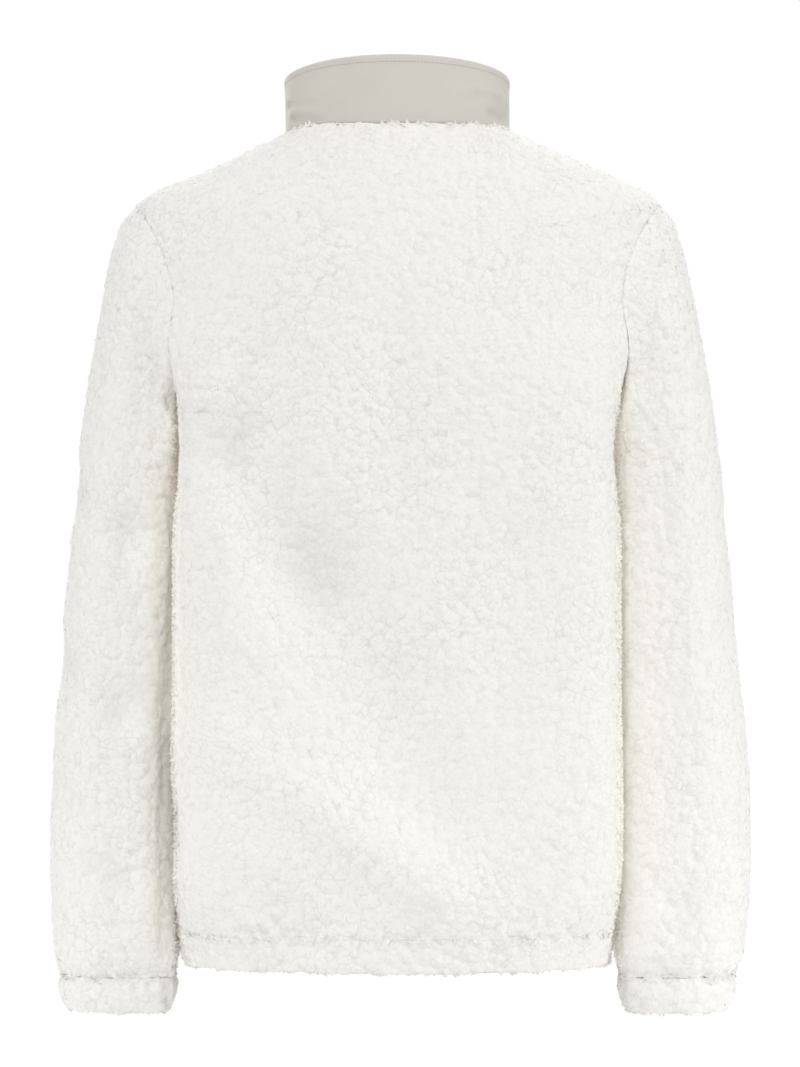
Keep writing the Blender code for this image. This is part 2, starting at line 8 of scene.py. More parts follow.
# %% Load the fixed frame
import math
import bmesh
import bpy
import numpy as np
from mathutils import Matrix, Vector


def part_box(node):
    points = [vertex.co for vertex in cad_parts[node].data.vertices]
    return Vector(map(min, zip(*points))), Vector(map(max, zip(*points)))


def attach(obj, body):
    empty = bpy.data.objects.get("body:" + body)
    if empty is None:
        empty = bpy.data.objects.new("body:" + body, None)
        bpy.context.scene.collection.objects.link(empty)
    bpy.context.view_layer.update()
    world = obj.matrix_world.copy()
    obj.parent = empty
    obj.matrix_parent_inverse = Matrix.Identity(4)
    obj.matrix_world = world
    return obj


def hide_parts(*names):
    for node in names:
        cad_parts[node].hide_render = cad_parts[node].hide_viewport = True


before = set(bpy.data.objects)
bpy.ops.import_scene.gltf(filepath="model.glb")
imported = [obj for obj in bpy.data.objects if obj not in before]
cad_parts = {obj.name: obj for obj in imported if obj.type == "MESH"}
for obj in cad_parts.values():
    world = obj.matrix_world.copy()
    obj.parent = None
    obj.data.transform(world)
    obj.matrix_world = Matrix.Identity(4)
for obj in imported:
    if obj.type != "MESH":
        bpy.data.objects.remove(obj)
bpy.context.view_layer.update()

# %% [markdown]
# ## Shapes from rings
# A torso is easiest to describe the way a pattern cutter measures it: rings at the hem, waist, chest,
# armpit, shoulder and neck. Each row below is one ring, and a smooth curve runs through the rows, so a
# dozen rows give the whole body. NumPy works on thousands of points at once, which matters here,
# because pile needs a fine mesh.

# %% Ring tables, in metres
TORSO_COLUMNS = ("side_z", "back_z", "front_z", "half_width", "back_y", "front_y", "square", "slope")
TORSO_RINGS = {
    "hem":      (-0.6750, -0.675, -0.675, 0.1745, 0.111, 0.1100, 2.50, 0.00),
    "casing":   (-0.6470, -0.647, -0.647, 0.1765, 0.116, 0.1150, 3.20, 0.00),
    "low":      (-0.5900, -0.590, -0.590, 0.1792, 0.122, 0.1210, 7.00, 0.00),
    "waist":    (-0.4500, -0.450, -0.450, 0.1789, 0.119, 0.1220, 7.00, 0.00),
    "chest":    (-0.3300, -0.330, -0.330, 0.1785, 0.122, 0.1270, 7.00, 0.00),
    "armpit":   (-0.2280, -0.228, -0.232, 0.1775, 0.125, 0.1300, 5.50, 0.00),
    "blade":    (-0.1480, -0.162, -0.190, 0.2010, 0.122, 0.1280, 2.60, 0.01),
    "tip":      (-0.0570, -0.088, -0.140, 0.2140, 0.110, 0.1200, 1.88, 0.04),
    "shoulder": (-0.0330, -0.048, -0.103, 0.1720, 0.096, 0.1100, 1.92, 0.10),
    "slope":    (-0.0150, -0.017, -0.071, 0.1320, 0.082, 0.0980, 1.97, 0.18),
    "neck":     ( 0.0010,  0.006, -0.045, 0.0935, 0.068, 0.0855, 2.00, 0.26),
}
COLLAR_TOP = (0.0460, 0.0625, 0.010, 0.0920, 0.062, 0.0843, 2.05, 0.24)

SLEEVE_COLUMNS = ("out_left", "out_right", "out_z", "in_x", "in_z", "half_depth", "mid_y")
SLEEVE_RINGS = (
    (0.2260, 0.2270, -0.0700, 0.1800, -0.2350, 0.0640, -0.003),
    (0.2350, 0.2365, -0.1000, 0.1799, -0.2450, 0.0670, -0.007),
    (0.2435, 0.2460, -0.1450, 0.1799, -0.2620, 0.0695, -0.011),
    (0.2530, 0.2560, -0.2000, 0.1798, -0.2880, 0.0710, -0.013),
    (0.2620, 0.2650, -0.2650, 0.1797, -0.3330, 0.0710, -0.013),
    (0.2690, 0.2720, -0.3400, 0.1797, -0.3820, 0.0695, -0.013),
    (0.2760, 0.2790, -0.4200, 0.1798, -0.4430, 0.0675, -0.013),
    (0.2830, 0.2895, -0.5250, 0.1802, -0.5320, 0.0635, -0.013),
    (0.2845, 0.2900, -0.6000, 0.1802, -0.6020, 0.0600, -0.012),
    (0.2825, 0.2870, -0.6450, 0.1800, -0.6450, 0.0570, -0.012),
    (0.2800, 0.2825, -0.6730, 0.1810, -0.6730, 0.0530, -0.012),
    (0.2755, 0.2765, -0.6850, 0.1840, -0.6850, 0.0470, -0.012),
)
CUFF_RINGS = (
    (0.2755, 0.2765, -0.6853, 0.1840, -0.6853, 0.0470, -0.012),
    (0.2775, 0.2785, -0.6970, 0.1820, -0.6970, 0.0485, -0.012),
    (0.2700, 0.2705, -0.7150, 0.1870, -0.7150, 0.0440, -0.012),
)
SHERPA_WALL = 0.005
BAND_WALL = 0.006
COLLAR_WALL = 0.003
COLLAR_INSET = 0.0012
SEAM_GAP = 0.0002
ZIP_HALF_GAP = 0.008
ARMHOLE_HALF_ANGLE = math.radians(20.0)
CURVE_MARGIN = 0.002          # normals are read at least this far from the ends of a curve
SLEEVE_SQUARE = (2.3, 6.0)   # of a sleeve ring's outer and inner half
print("torso rings:", len(TORSO_RINGS), "sleeve rings:", len(SLEEVE_RINGS))


# %% Smooth curves through the tables
def smooth_through(keys, values, at):
    """Values at the keys in `at`, on a curve through every table row with parabola-fit tangents."""
    keys, values, at = np.asarray(keys), np.asarray(values), np.asarray(at, dtype=float)
    steps = np.diff(keys)
    slopes = np.diff(values) / steps
    inner = (steps[1:] * slopes[:-1] + steps[:-1] * slopes[1:]) / (steps[1:] + steps[:-1])
    tangents = np.concatenate((slopes[:1], inner, slopes[-1:]))
    span = np.clip(np.searchsorted(keys, at, side="right") - 1, 0, len(steps) - 1)
    h = steps[span]
    u = (at - keys[span]) / h
    start = values[span] * (1 + 2 * u) * (1 - u) ** 2 + tangents[span] * h * u * (1 - u) ** 2
    end = values[span + 1] * u * u * (3 - 2 * u) + tangents[span + 1] * h * u * u * (u - 1)
    return start + end


def running_length(points):
    """Distance along a chain of points from its first to each."""
    gaps = np.linalg.norm(np.diff(np.asarray(points), axis=0), axis=1)
    return np.concatenate(([0.0], np.cumsum(gaps)))


def unit(vectors):
    return vectors / np.maximum(np.linalg.norm(vectors, axis=-1, keepdims=True), 1e-12)


def smooth_step(low, high, x):
    share = np.clip((x - low) / (high - low), 0.0, 1.0)
    return share * share * (3 - 2 * share)


TORSO_TABLE = np.array(list(TORSO_RINGS.values()))
TORSO_KEYS = running_length(TORSO_TABLE[:, [3, 0]])
KEY = dict(zip(TORSO_RINGS, TORSO_KEYS))
print("side line, hem to neck: %.0f mm" % (1000 * TORSO_KEYS[-1]))

# %% [markdown]
# ## Folds
# Cloth that hangs from the shoulders shows a few wide, shallow folds. Each is a soft ridge or trough
# along a short line in space: every point near the line is lifted or lowered a little, least at the
# edge of the fold. Sculpting them by hand would work too, but a table of lines can be read, changed
# and repeated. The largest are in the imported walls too; the smaller ones are only here.

# %% Fold lines: start, end, half width, height; first the back, then the front, sleeves and seams
FOLDS = np.array((
    (0.107, 0.115, -0.190, 0.126, 0.110, -0.265, 0.028, -0.0120),
    (0.126, 0.110, -0.265, 0.062, 0.122, -0.370, 0.034, -0.0150),
    (0.150, 0.108, -0.225, 0.130, 0.116, -0.400, 0.022, 0.0045),
    (0.062, 0.122, -0.370, -0.026, 0.120, -0.540, 0.044, -0.0130),
    (0.004, 0.122, -0.165, 0.000, 0.122, -0.290, 0.022, -0.0038),
    (0.140, 0.095, -0.490, -0.034, 0.121, -0.605, 0.026, 0.0125),
    (0.165, 0.075, -0.560, 0.075, 0.118, -0.645, 0.026, -0.0085),
    (-0.110, 0.110, -0.360, -0.070, 0.120, -0.520, 0.036, -0.0035),
    (0.160, 0.030, -0.046, 0.062, 0.070, -0.055, 0.018, -0.0032),
    (-0.130, -0.105, -0.230, -0.060, -0.125, -0.420, 0.030, -0.0075),
    (0.125, -0.105, -0.260, 0.050, -0.125, -0.500, 0.030, -0.0075),
    (0.120, -0.095, -0.600, 0.030, -0.122, -0.520, 0.026, 0.0060),
    (-0.120, -0.100, -0.620, -0.030, -0.122, -0.560, 0.024, -0.0050),
    (0.215, 0.060, -0.330, 0.260, 0.000, -0.290, 0.018, -0.0105),
    (0.225, 0.048, -0.470, 0.270, 0.005, -0.430, 0.020, -0.0110),
    (0.215, 0.040, -0.600, 0.262, 0.025, -0.540, 0.020, -0.0110),
    (0.240, -0.060, -0.400, 0.270, -0.020, -0.340, 0.020, -0.0045),
    (0.225, -0.060, -0.580, 0.265, -0.035, -0.520, 0.022, -0.0045),
    (-0.190, 0.055, -0.262, -0.240, 0.055, -0.218, 0.015, -0.0060),
    (-0.192, 0.055, -0.300, -0.225, 0.057, -0.278, 0.012, -0.0035),
    (-0.215, 0.045, -0.450, -0.262, 0.030, -0.410, 0.022, -0.0050),
    (-0.225, 0.035, -0.620, -0.270, 0.020, -0.560, 0.022, -0.0050),
    (-0.240, -0.060, -0.360, -0.270, -0.020, -0.320, 0.020, -0.0045),
    (-0.225, -0.060, -0.550, -0.265, -0.035, -0.500, 0.022, -0.0045),
    (-0.165, 0.000, -0.034, -0.200, 0.000, -0.050, 0.030, 0.0026),
    (0.105, 0.000, -0.010, 0.135, 0.000, -0.020, 0.034, -0.0050),
    (0.208, 0.020, -0.080, 0.190, 0.050, -0.135, 0.014, -0.0058),
    (0.190, 0.050, -0.135, 0.181, 0.055, -0.215, 0.014, -0.0075),
    (-0.196, 0.045, -0.130, -0.183, 0.055, -0.200, 0.011, -0.0013),
    (0.186, -0.055, -0.140, 0.180, -0.070, -0.215, 0.012, -0.0030),
    (-0.200, -0.040, -0.110, -0.184, -0.060, -0.190, 0.013, -0.0034),
))


def fold_height(points, folds=FOLDS):
    """How far the folds lift the cloth at each point."""
    total = np.zeros(points.shape[:-1])
    for fold in folds:
        start, line = fold[:3], fold[3:6] - fold[:3]
        share = np.clip((points - start) @ line / (line @ line), 0.0, 1.0)
        away = np.linalg.norm(points - start - share[..., None] * line, axis=-1) / fold[6]
        total += fold[7] * np.exp(-away * away)
    return total


print("folds:", len(FOLDS))

# %% Torso surface
def ring_points(ring, angles):
    """Points of rings (columns of numbers) at angles from +X: a squared oval, tilted front to back."""
    side_z, back_z, front_z, half_width, back_y, front_y, square, slope = ring
    behind = np.sin(angles) >= 0
    depth = np.where(behind, back_y, front_y)
    end_z = np.where(behind, back_z, front_z)
    across = np.abs(np.cos(angles) / half_width) ** square
    along = np.abs(np.sin(angles) / depth) ** square
    radius = (across + along) ** (-1 / square)
    y = radius * np.sin(angles)
    full_lean = slope * depth * np.where(behind, 1, -1)
    z = side_z + slope * y + (end_z - side_z - full_lean) * (y / depth) ** 2
    return np.stack((radius * np.cos(angles), y, z), axis=-1)


def torso_base(angles, keys):
    ring = [smooth_through(TORSO_KEYS, TORSO_TABLE[:, i], keys) for i in range(len(TORSO_COLUMNS))]
    return ring_points(ring, angles)


def normals_of(surface, u, v, du=0.01, dv=0.002):
    """Outward unit normals of surface(u, v)."""
    along_u = surface(u + du, v) - surface(u - du, v)
    along_v = surface(u, v + dv) - surface(u, v - dv)
    return unit(np.cross(along_u, along_v))


def torso_normals(angles, keys):
    return normals_of(torso_base, angles, np.clip(keys, CURVE_MARGIN, TORSO_KEYS[-1] - CURVE_MARGIN))


def mirrored(points, side):
    """Points for the wearer's left (side 1) or right (side -1)."""
    return points * np.array((side, 1, 1))


def torso_points(angles, keys, side=1):
    """Cloth's face in the left half's terms, with the folds of the given side."""
    base = torso_base(angles, keys)
    return base + fold_height(mirrored(base, side))[..., None] * torso_normals(angles, keys)


waist_back = torso_points(np.array([math.pi / 2]), np.array([KEY["waist"]]))[0]
print("middle of the back at the waist, in metres:", waist_back.round(4))

# %% Armhole and neck seams
ARMHOLE_MIDDLE = (KEY["tip"] + KEY["armpit"]) / 2
ARMHOLE_HALF = (KEY["tip"] - KEY["armpit"]) / 2
NECK_OVAL = (0.068, 0.0925)   # half depth and half width of the neck seam


def armhole_points(turns, side):
    """The armhole at turns from the shoulder tip (0) by the back to the armpit (pi) and the front."""
    turns = np.asarray(turns, dtype=float)
    angles = ARMHOLE_HALF_ANGLE * np.sin(turns)
    return torso_points(angles, ARMHOLE_MIDDLE + ARMHOLE_HALF * np.cos(turns), side)


def armhole_inward(turns, side):
    """Unit directions in the YZ plane from the armhole's edge towards its middle."""
    run = armhole_points(turns + 0.02, side) - armhole_points(turns - 0.02, side)
    inward = unit(np.stack((np.zeros_like(run[..., 0]), run[..., 2], -run[..., 1]), axis=-1))
    middle = (armhole_points(0.0, side) + armhole_points(math.pi, side)) / 2
    facing = np.sum(inward * (middle - armhole_points(turns, side)), axis=-1, keepdims=True)
    return np.where(facing > 0, inward, -inward)


def neck_rim(angles, side=1):
    """Neck seam points, the wall's inward direction there and the way up into the collar."""
    key = np.full_like(angles, KEY["neck"])
    half_depth, half_width = NECK_OVAL
    outward = unit(np.stack((np.cos(angles) * half_depth, np.sin(angles) * half_width, 0 * angles), axis=-1))
    inward = -unit(torso_normals(angles, key) + outward)
    around = torso_points(angles + 0.01, key, side) - torso_points(angles - 0.01, key, side)
    upward = unit(np.cross(around, inward))
    upward = np.where(upward[..., 2:] > 0, upward, -upward)
    return torso_points(angles, key, side), inward, upward


print("armhole, tip to armpit: %.0f mm along the side line" % (2000 * ARMHOLE_HALF))

# %% [markdown]
# ## Where pile is thin, loose or given a painted glow
# Pile is not the same all over a jacket. It thins at a seam, and is pressed flat where a sleeve hangs
# against the body. It stands out over the lips of that valley, at the neck and at the elastic bands. The
# pile is also given a painted glow: light emitted by its material in the valley between sleeve and body
# and along seams, standing in for the light that would reach in there. Weights painted by hand would be
# lost with the next change of shape, so each one is worked out from where a point lies.

# %% Distances on a grid
SIDE_PLANE = 0.1796         # the sleeves hang against the body here
SLEEVE_MIDDLE_Y = -0.013
ARM_TOP = -0.200            # the valley between sleeve and body starts below this height
BANDS_TOP = -0.60           # casing and cuff seams lie below this height


def edge_distance(grid, closed=False):
    """Distance of each grid point from the piece's nearest edge, in metres."""
    down = np.linalg.norm(np.diff(grid, axis=0), axis=-1)
    along = np.concatenate((np.zeros((1, grid.shape[1])), np.cumsum(down, axis=0)))
    nearest = np.minimum(along, along[-1:] - along)
    if closed:
        return nearest
    side = np.linalg.norm(np.diff(grid, axis=1), axis=-1)
    across = np.concatenate((np.zeros((grid.shape[0], 1)), np.cumsum(side, axis=1)), axis=1)
    return np.minimum(nearest, np.minimum(across, across[:, -1:] - across))


def side_clearance(grid):
    """Distance of each grid point from the plane that a sleeve and the body meet at."""
    return np.abs(np.abs(grid[..., 0]) - SIDE_PLANE)


# %% Pile weight
PILE_AT_SEAM = 0.9
SEAM_REACH = 0.005


def pile_weight(grid, closed=False):
    """Pile from 0, none, to 1, full: thin at seams and where sleeve and body press together."""
    seam = PILE_AT_SEAM + (1 - PILE_AT_SEAM) * smooth_step(0.0, SEAM_REACH, edge_distance(grid, closed))
    pressed = smooth_step(-0.0005, 0.0030, side_clearance(grid))
    return np.where(grid[..., 2] < ARM_TOP, seam * pressed, seam)


# %% Painted glow weight
# strengths of the painted glow that the pile emits in the valley between sleeve and body and at seams
LEFT_PAINTED_GLOW = 2.2
LOW_LEFT_SHARE = 0.35       # the painted glow in the valley on the wearer's left is weakest near the hem
RIGHT_PAINTED_GLOW = 3.6           # far more painted glow in the valley on the wearer's right
ARMPIT_Z = -0.245
SEAM_PAINTED_GLOW = 0.3
BAND_SEAM_SHARE = 3.0


def painted_glow_weight(grid, closed=False):
    """Weight of the painted glow emitted by the pile: most between sleeve and body, a little at seams."""
    height, clear = grid[..., 2], side_clearance(grid)
    left = LEFT_PAINTED_GLOW * (1 - smooth_step(0.0025, 0.0110, clear))
    left = left * (LOW_LEFT_SHARE + (1 - LOW_LEFT_SHARE) * smooth_step(-0.54, -0.44, height))
    armpit = np.exp(-((height - ARMPIT_Z) / 0.035) ** 2)
    right = RIGHT_PAINTED_GLOW * (1 + 0.2 * armpit) * (1 - smooth_step(0.0008, 0.0045 + 0.002 * armpit, clear))
    deep = np.where(grid[..., 0] > 0, left, right) * smooth_step(-0.025, 0.045, ARM_TOP - height)
    seam = SEAM_PAINTED_GLOW * np.where(height < BANDS_TOP, BAND_SEAM_SHARE, 1.0)
    return np.maximum(deep, seam * (1 - smooth_step(0.0005, 0.0030, edge_distance(grid, closed))))


# %% Fringe weight
BAND_FRINGE = 0.7


def fringe_weight(grid, closed=False):
    """Where locks stand out: 1 along both lips of the valley and round the neck, less at the bands."""
    height = grid[..., 2]
    lip = smooth_step(0.020, 0.030, np.abs(grid[..., 1] - SLEEVE_MIDDLE_Y))
    lip = lip * smooth_step(0.0, 0.03, ARM_TOP - height)
    lip = lip * (1 - smooth_step(0.0015, 0.0060, side_clearance(grid))) * smooth_step(-0.690, -0.660, height)
    neck = smooth_step(-0.050, -0.045, height) * smooth_step(0.108, 0.100, np.abs(grid[..., 0]))
    at_zip = (grid[..., 1] < 0) & (np.abs(grid[..., 0]) < 0.02)
    seams = np.maximum(neck, np.where(at_zip | (height > BANDS_TOP), 0.0, BAND_FRINGE))
    return np.maximum(lip, seams * (1 - smooth_step(0.0010, 0.0050, edge_distance(grid, closed))))


# %% [markdown]
# ## From grids to closed shells
# Each cloth piece is a fine grid of points on its outer face and a coarser grid on its inner face,
# joined round the edge. One inner step spans four outer ones, which saves more than a third of the
# faces where nobody needs them. The shell also carries attributes for later steps: `rest`, the place on
# the smooth cloth that the pile pattern is read at, `out`, the way the pile grows there, the three
# weights, and a UV map in metres. Its rims are marked sharp, so that no shade bends round a seam.

# %% Grid faces
INNER_STEP = 4


def border_pairs(rows, columns, closed):
    """Border runs of grid indices, each a list of (row, column)."""
    last_row, last_column = rows - 1, columns - 1
    span = [(c % columns) for c in range(columns + 1)] if closed else list(range(columns))
    runs = [[(0, c) for c in span], [(last_row, c) for c in span]]
    if not closed:
        runs += [[(r, 0) for r in range(rows)], [(r, last_column) for r in range(rows)]]
    return runs


def quads(rows, columns, closed, first):
    """Grid quads as an array of vertex numbers, starting at `first`."""
    c = np.arange(columns if closed else columns - 1)
    r = np.arange(rows - 1)
    low = (first + r[:, None] * columns + c[None, :]).ravel()
    right = (first + r[:, None] * columns + (c[None, :] + 1) % columns).ravel()
    return np.stack((low, right, right + columns, low + columns), axis=1)


# %% Shell builder
RIM_PAINTED_GLOW = 2.5             # painted glow on the rims of a seam, standing in for light between them
RIM_ANGLE = math.radians(50.0)


def placed(name, data):
    """A new object in the scene, at the origin."""
    obj = bpy.data.objects.new(name, data)
    bpy.context.scene.collection.objects.link(obj)
    return obj


def keep_values(mesh, name, values):
    """Store a number or a vector per point as an attribute of the mesh."""
    plain = values.ndim == 1
    layer = mesh.attributes.new(name, "FLOAT" if plain else "FLOAT_VECTOR", "POINT")
    layer.data.foreach_set("value" if plain else "vector", values.astype(np.float32).ravel())


def growing_way(mesh, shape, closed):
    """Normals of the mesh; a grid's edge takes the next row's, which its rim doesn't bend."""
    facing = np.empty((len(mesh.vertices), 3), dtype=np.float32)
    mesh.vertex_normals.foreach_get("vector", facing.ravel())
    on_cloth = facing[:shape[0] * shape[1]].reshape(*shape[:2], 3)
    if not closed:
        on_cloth[:, 0], on_cloth[:, -1] = on_cloth[:, 1], on_cloth[:, -2]
    on_cloth[0], on_cloth[-1] = on_cloth[1], on_cloth[-2]
    return facing


def shell(name, outer, inner, pile, closed=False, materials=()):
    """A closed shell object from an outer grid and an inner grid at every fourth point."""
    rows, columns = outer.shape[:2]
    in_rows, in_columns = inner.shape[:2]
    points = np.concatenate((outer.reshape(-1, 3), inner.reshape(-1, 3)))
    first = rows * columns
    faces = quads(rows, columns, closed, 0).tolist()
    outer_count = len(faces)
    faces += quads(in_rows, in_columns, closed, first)[:, ::-1].tolist()
    inner_count = len(faces) - outer_count
    for run in border_pairs(rows, columns, closed):
        fine = [r * columns + c for r, c in run]
        wide = [first + (r // INNER_STEP) * in_columns + (c // INNER_STEP) for r, c in run[::INNER_STEP]]
        for i in range(len(wide) - 1):
            faces.append(fine[i * INNER_STEP:(i + 1) * INNER_STEP + 1] + [wide[i + 1], wide[i]])
    mesh = bpy.data.meshes.new(name)
    mesh.from_pydata(points.tolist(), [], faces)
    for finish in materials:
        mesh.materials.append(finish)
    backing = np.zeros(len(faces), dtype=np.int32)
    backing[outer_count:outer_count + inner_count] = 1
    mesh.polygons.foreach_set("material_index", backing)
    keep_values(mesh, "rest", points)
    for layer, values, rim in (("pile", pile, 0.0), ("fringe", fringe_weight(outer, closed), 0.0),
                               ("valley", painted_glow_weight(outer, closed), RIM_PAINTED_GLOW)):
        keep_values(mesh, layer, np.concatenate((values.ravel(), np.full(len(points) - first, rim))))
    lay_uv(mesh, outer, inner)
    bm = bmesh.new()
    bm.from_mesh(mesh)
    bmesh.ops.recalc_face_normals(bm, faces=bm.faces)
    bm.to_mesh(mesh)
    bm.free()
    keep_values(mesh, "out", growing_way(mesh, outer.shape, closed))
    mesh.shade_smooth()
    if pile.any():
        mesh.set_sharp_from_angle(angle=RIM_ANGLE)
    return placed(name, mesh)


def lay_uv(mesh, outer, inner):
    """UV map in metres: across and along each grid."""
    flat = []
    for grid in (outer, inner):
        across = np.cumsum(np.linalg.norm(np.diff(grid, axis=1, prepend=grid[:, :1]), axis=-1), axis=1)
        across -= across[:, -1:] / 2
        middle = grid.shape[1] // 2
        along = np.cumsum(np.linalg.norm(np.diff(grid[:, middle], axis=0, prepend=grid[:1, middle]), axis=-1))
        flat.append(np.stack((across, np.broadcast_to(along[:, None], across.shape)), axis=-1).reshape(-1, 2))
    flat = np.concatenate(flat)
    corners = np.empty(len(mesh.loops), dtype=np.int32)
    mesh.loops.foreach_get("vertex_index", corners)
    layer = mesh.uv_layers.new(name="cloth")
    layer.data.foreach_set("uv", flat[corners].ravel().astype(np.float32))


# %% [markdown]
# ## Finishes
# The jacket needs pile, knitted backing, nylon, thread, tape and zip metal. Pictures of cloth would blur
# close up and show their repeats, so every finish is worked out from noise, waves and cells instead. An
# effect that several finishes share is a group, built once and placed in each with its own values.

# %% Node helpers
def add_node(tree, kind, inputs=None, **settings):
    """A node with its settings and input values; an input given a socket is linked to it."""
    node = tree.nodes.new(kind)
    for key, value in settings.items():
        setattr(node, key, value)
    for key, value in (inputs or {}).items():
        socket = node.inputs[key]
        if isinstance(value, bpy.types.NodeSocket):
            tree.links.new(value, socket)
        else:
            socket.default_value = value
    return node


def new_material(name, colour, roughness, metallic=0.0, sheen=0.0):
    """A Principled material and its parts."""
    finish = bpy.data.materials.new(name)
    finish.use_nodes = True
    tree = finish.node_tree
    shader = tree.nodes["Principled BSDF"]
    shader.inputs["Base Color"].default_value = (*colour, 1)
    shader.inputs["Roughness"].default_value = roughness
    shader.inputs["Metallic"].default_value = metallic
    shader.inputs["Sheen Weight"].default_value = sheen
    shader.inputs["Sheen Roughness"].default_value = 0.5
    return finish, tree, shader


def math_node(tree, operation, a, b):
    return add_node(tree, "ShaderNodeMath", {0: a, 1: b}, operation=operation).outputs[0]


def mix_colour(tree, factor, a, b):
    return add_node(tree, "ShaderNodeMix", {0: factor, 6: a, 7: b}, data_type="RGBA").outputs[2]


def scaled(tree, vector, share):
    node = add_node(tree, "ShaderNodeVectorMath", {0: vector, "Scale": share}, operation="SCALE")
    return node.outputs[0]


def colour_from(tree, shader, colour):
    """Give a material its colour from a node."""
    tree.links.new(colour, shader.inputs["Base Color"])


def add_bump(tree, shader, height, strength, distance):
    """Fine relief on a material, from a height."""
    bump = add_node(tree, "ShaderNodeBump", {"Height": height, "Strength": strength, "Distance": distance})
    tree.links.new(bump.outputs[0], shader.inputs["Normal"])


def new_tree(name, kind, inputs, outputs):
    """A node group with named sockets, and the sockets of its first and last node."""
    tree = bpy.data.node_groups.new(name, kind)
    for direction, sockets in (("INPUT", inputs), ("OUTPUT", outputs)):
        for label, socket_kind, *value in sockets:
            kind_name = "NodeSocket" + socket_kind
            socket = tree.interface.new_socket(label, in_out=direction, socket_type=kind_name)
            if value:
                socket.default_value = value[0]
    start, end = tree.nodes.new("NodeGroupInput"), tree.nodes.new("NodeGroupOutput")
    return tree, start.outputs, end.inputs


def place_group(tree, group, **values):
    """A shared shader group placed in a material with its own values; an underscore stands for a space."""
    inputs = {name.replace("_", " "): value for name, value in values.items()}
    return add_node(tree, "ShaderNodeGroup", inputs, node_tree=group).outputs


def attribute(tree, name, kind="FLOAT"):
    """A named attribute of the mesh, inside a geometry tree."""
    return add_node(tree, "GeometryNodeInputNamedAttribute", {"Name": name}, data_type=kind).outputs[0]


# %% [markdown]
# ## Sherpa pile
# Sherpa is a knit whose long loops were cut and tumbled until they curled into cobbles about 8 mm wide.
# The cobbles could be one bump map, but then the outline would stay smooth. So a Geometry Nodes tree
# lifts the mesh itself, cell by cell, and the material reads the same cells for its thin, broken,
# slightly warmer lines of painted shade between them, and adds the finest curls and fibres as bump.

# %% Pile pattern, shared by mesh and material
CLUMP = 0.0080             # width of one cobble of pile
CURL = 0.0044              # width of one curl within it
CLUMP_RISE = 0.0012
CURL_RISE = 0.0004
DRIFT_RISE = 0.0016         # of the slow swells under the cobbles
DRIFT_SCALE = 28.0          # this and the other scales are per metre
BEND_SCALE = 110.0
BEND_REACH = 0.0034
PATCH_SCALE = 130.0         # of the patches in which lines between cobbles show
BRUSHED_SCALE = 11.0        # of the areas that are brushed smoother
FIBRE_SCALE = 600.0


def noise_at(tree, place, scale, detail=1.0):
    """Noise from 0 to 1 of the given scale per metre."""
    node = add_node(tree, "ShaderNodeTexNoise", {"Vector": place, "Scale": scale, "Detail": detail})
    return node.outputs[0]


def bent_place(tree, place):
    """The place, moved about by noise, so that no cell has straight sides."""
    noise = add_node(tree, "ShaderNodeTexNoise", {"Vector": place, "Scale": BEND_SCALE, "Detail": 2.0})
    centred = add_node(tree, "ShaderNodeVectorMath", {0: noise.outputs["Color"], 1: (0.5, 0.5, 0.5)},
                       operation="SUBTRACT")
    bent = add_node(tree, "ShaderNodeVectorMath",
                    {0: centred.outputs[0], 1: (BEND_REACH * 2,) * 3, 2: place}, operation="MULTIPLY_ADD")
    return bent.outputs[0]


def cell_edges(tree, place, width):
    """Distance to the nearest edge of cells of the given width, in cell widths."""
    node = add_node(tree, "ShaderNodeTexVoronoi", {"Vector": place, "Scale": 1 / width},
                    feature="DISTANCE_TO_EDGE")
    return node.outputs["Distance"]


def soft_cells(tree, place, width):
    """Distance to the middle of the nearest cell, blended between cells."""
    node = add_node(tree, "ShaderNodeTexVoronoi", {"Vector": place, "Scale": 1 / width, "Smoothness": 0.3},
                    feature="SMOOTH_F1")
    return node.outputs["Distance"]


def hard_cells(tree, place, width):
    """Distance to the middle of the nearest cell, with a crease between cells; quick to render."""
    return add_node(tree, "ShaderNodeTexVoronoi", {"Vector": place, "Scale": 1 / width}).outputs["Distance"]


def squared(tree, value, share):
    """The value squared, times a share."""
    return math_node(tree, "MULTIPLY", math_node(tree, "MULTIPLY", value, value), share)


# %% Pile tree
def lay_pile_tree():
    """Geometry nodes that raise a shell's outer face into cobbled pile."""
    tree, start, end = new_tree("lay_pile", "GeometryNodeTree",
                                (("Geometry", "Geometry"), ("Clump rise", "Float", CLUMP_RISE),
                                 ("Curl rise", "Float", CURL_RISE)), (("Geometry", "Geometry"),))
    rest = attribute(tree, "rest", "FLOAT_VECTOR")
    place = bent_place(tree, rest)
    # each cell is a dome, a little above the cloth at its middle and below it at its edge
    high = math_node(tree, "SUBTRACT", 0.55, squared(tree, soft_cells(tree, place, CLUMP), 1.9))
    clump = math_node(tree, "MULTIPLY", high, start["Clump rise"])
    curl = math_node(tree, "SUBTRACT", 0.5, soft_cells(tree, place, CURL))
    curls = math_node(tree, "MULTIPLY", curl, start["Curl rise"])
    swell = math_node(tree, "SUBTRACT", noise_at(tree, rest, DRIFT_SCALE), 0.5)
    drift = math_node(tree, "MULTIPLY", swell, DRIFT_RISE)
    total = math_node(tree, "ADD", math_node(tree, "ADD", clump, curls), drift)
    lift = math_node(tree, "MULTIPLY", total, attribute(tree, "pile"))
    offset = scaled(tree, attribute(tree, "out", "FLOAT_VECTOR"), lift)
    raised = add_node(tree, "GeometryNodeSetPosition", {"Geometry": start["Geometry"], "Offset": offset})
    tree.links.new(raised.outputs[0], end[0])
    return tree


LAY_PILE = lay_pile_tree()


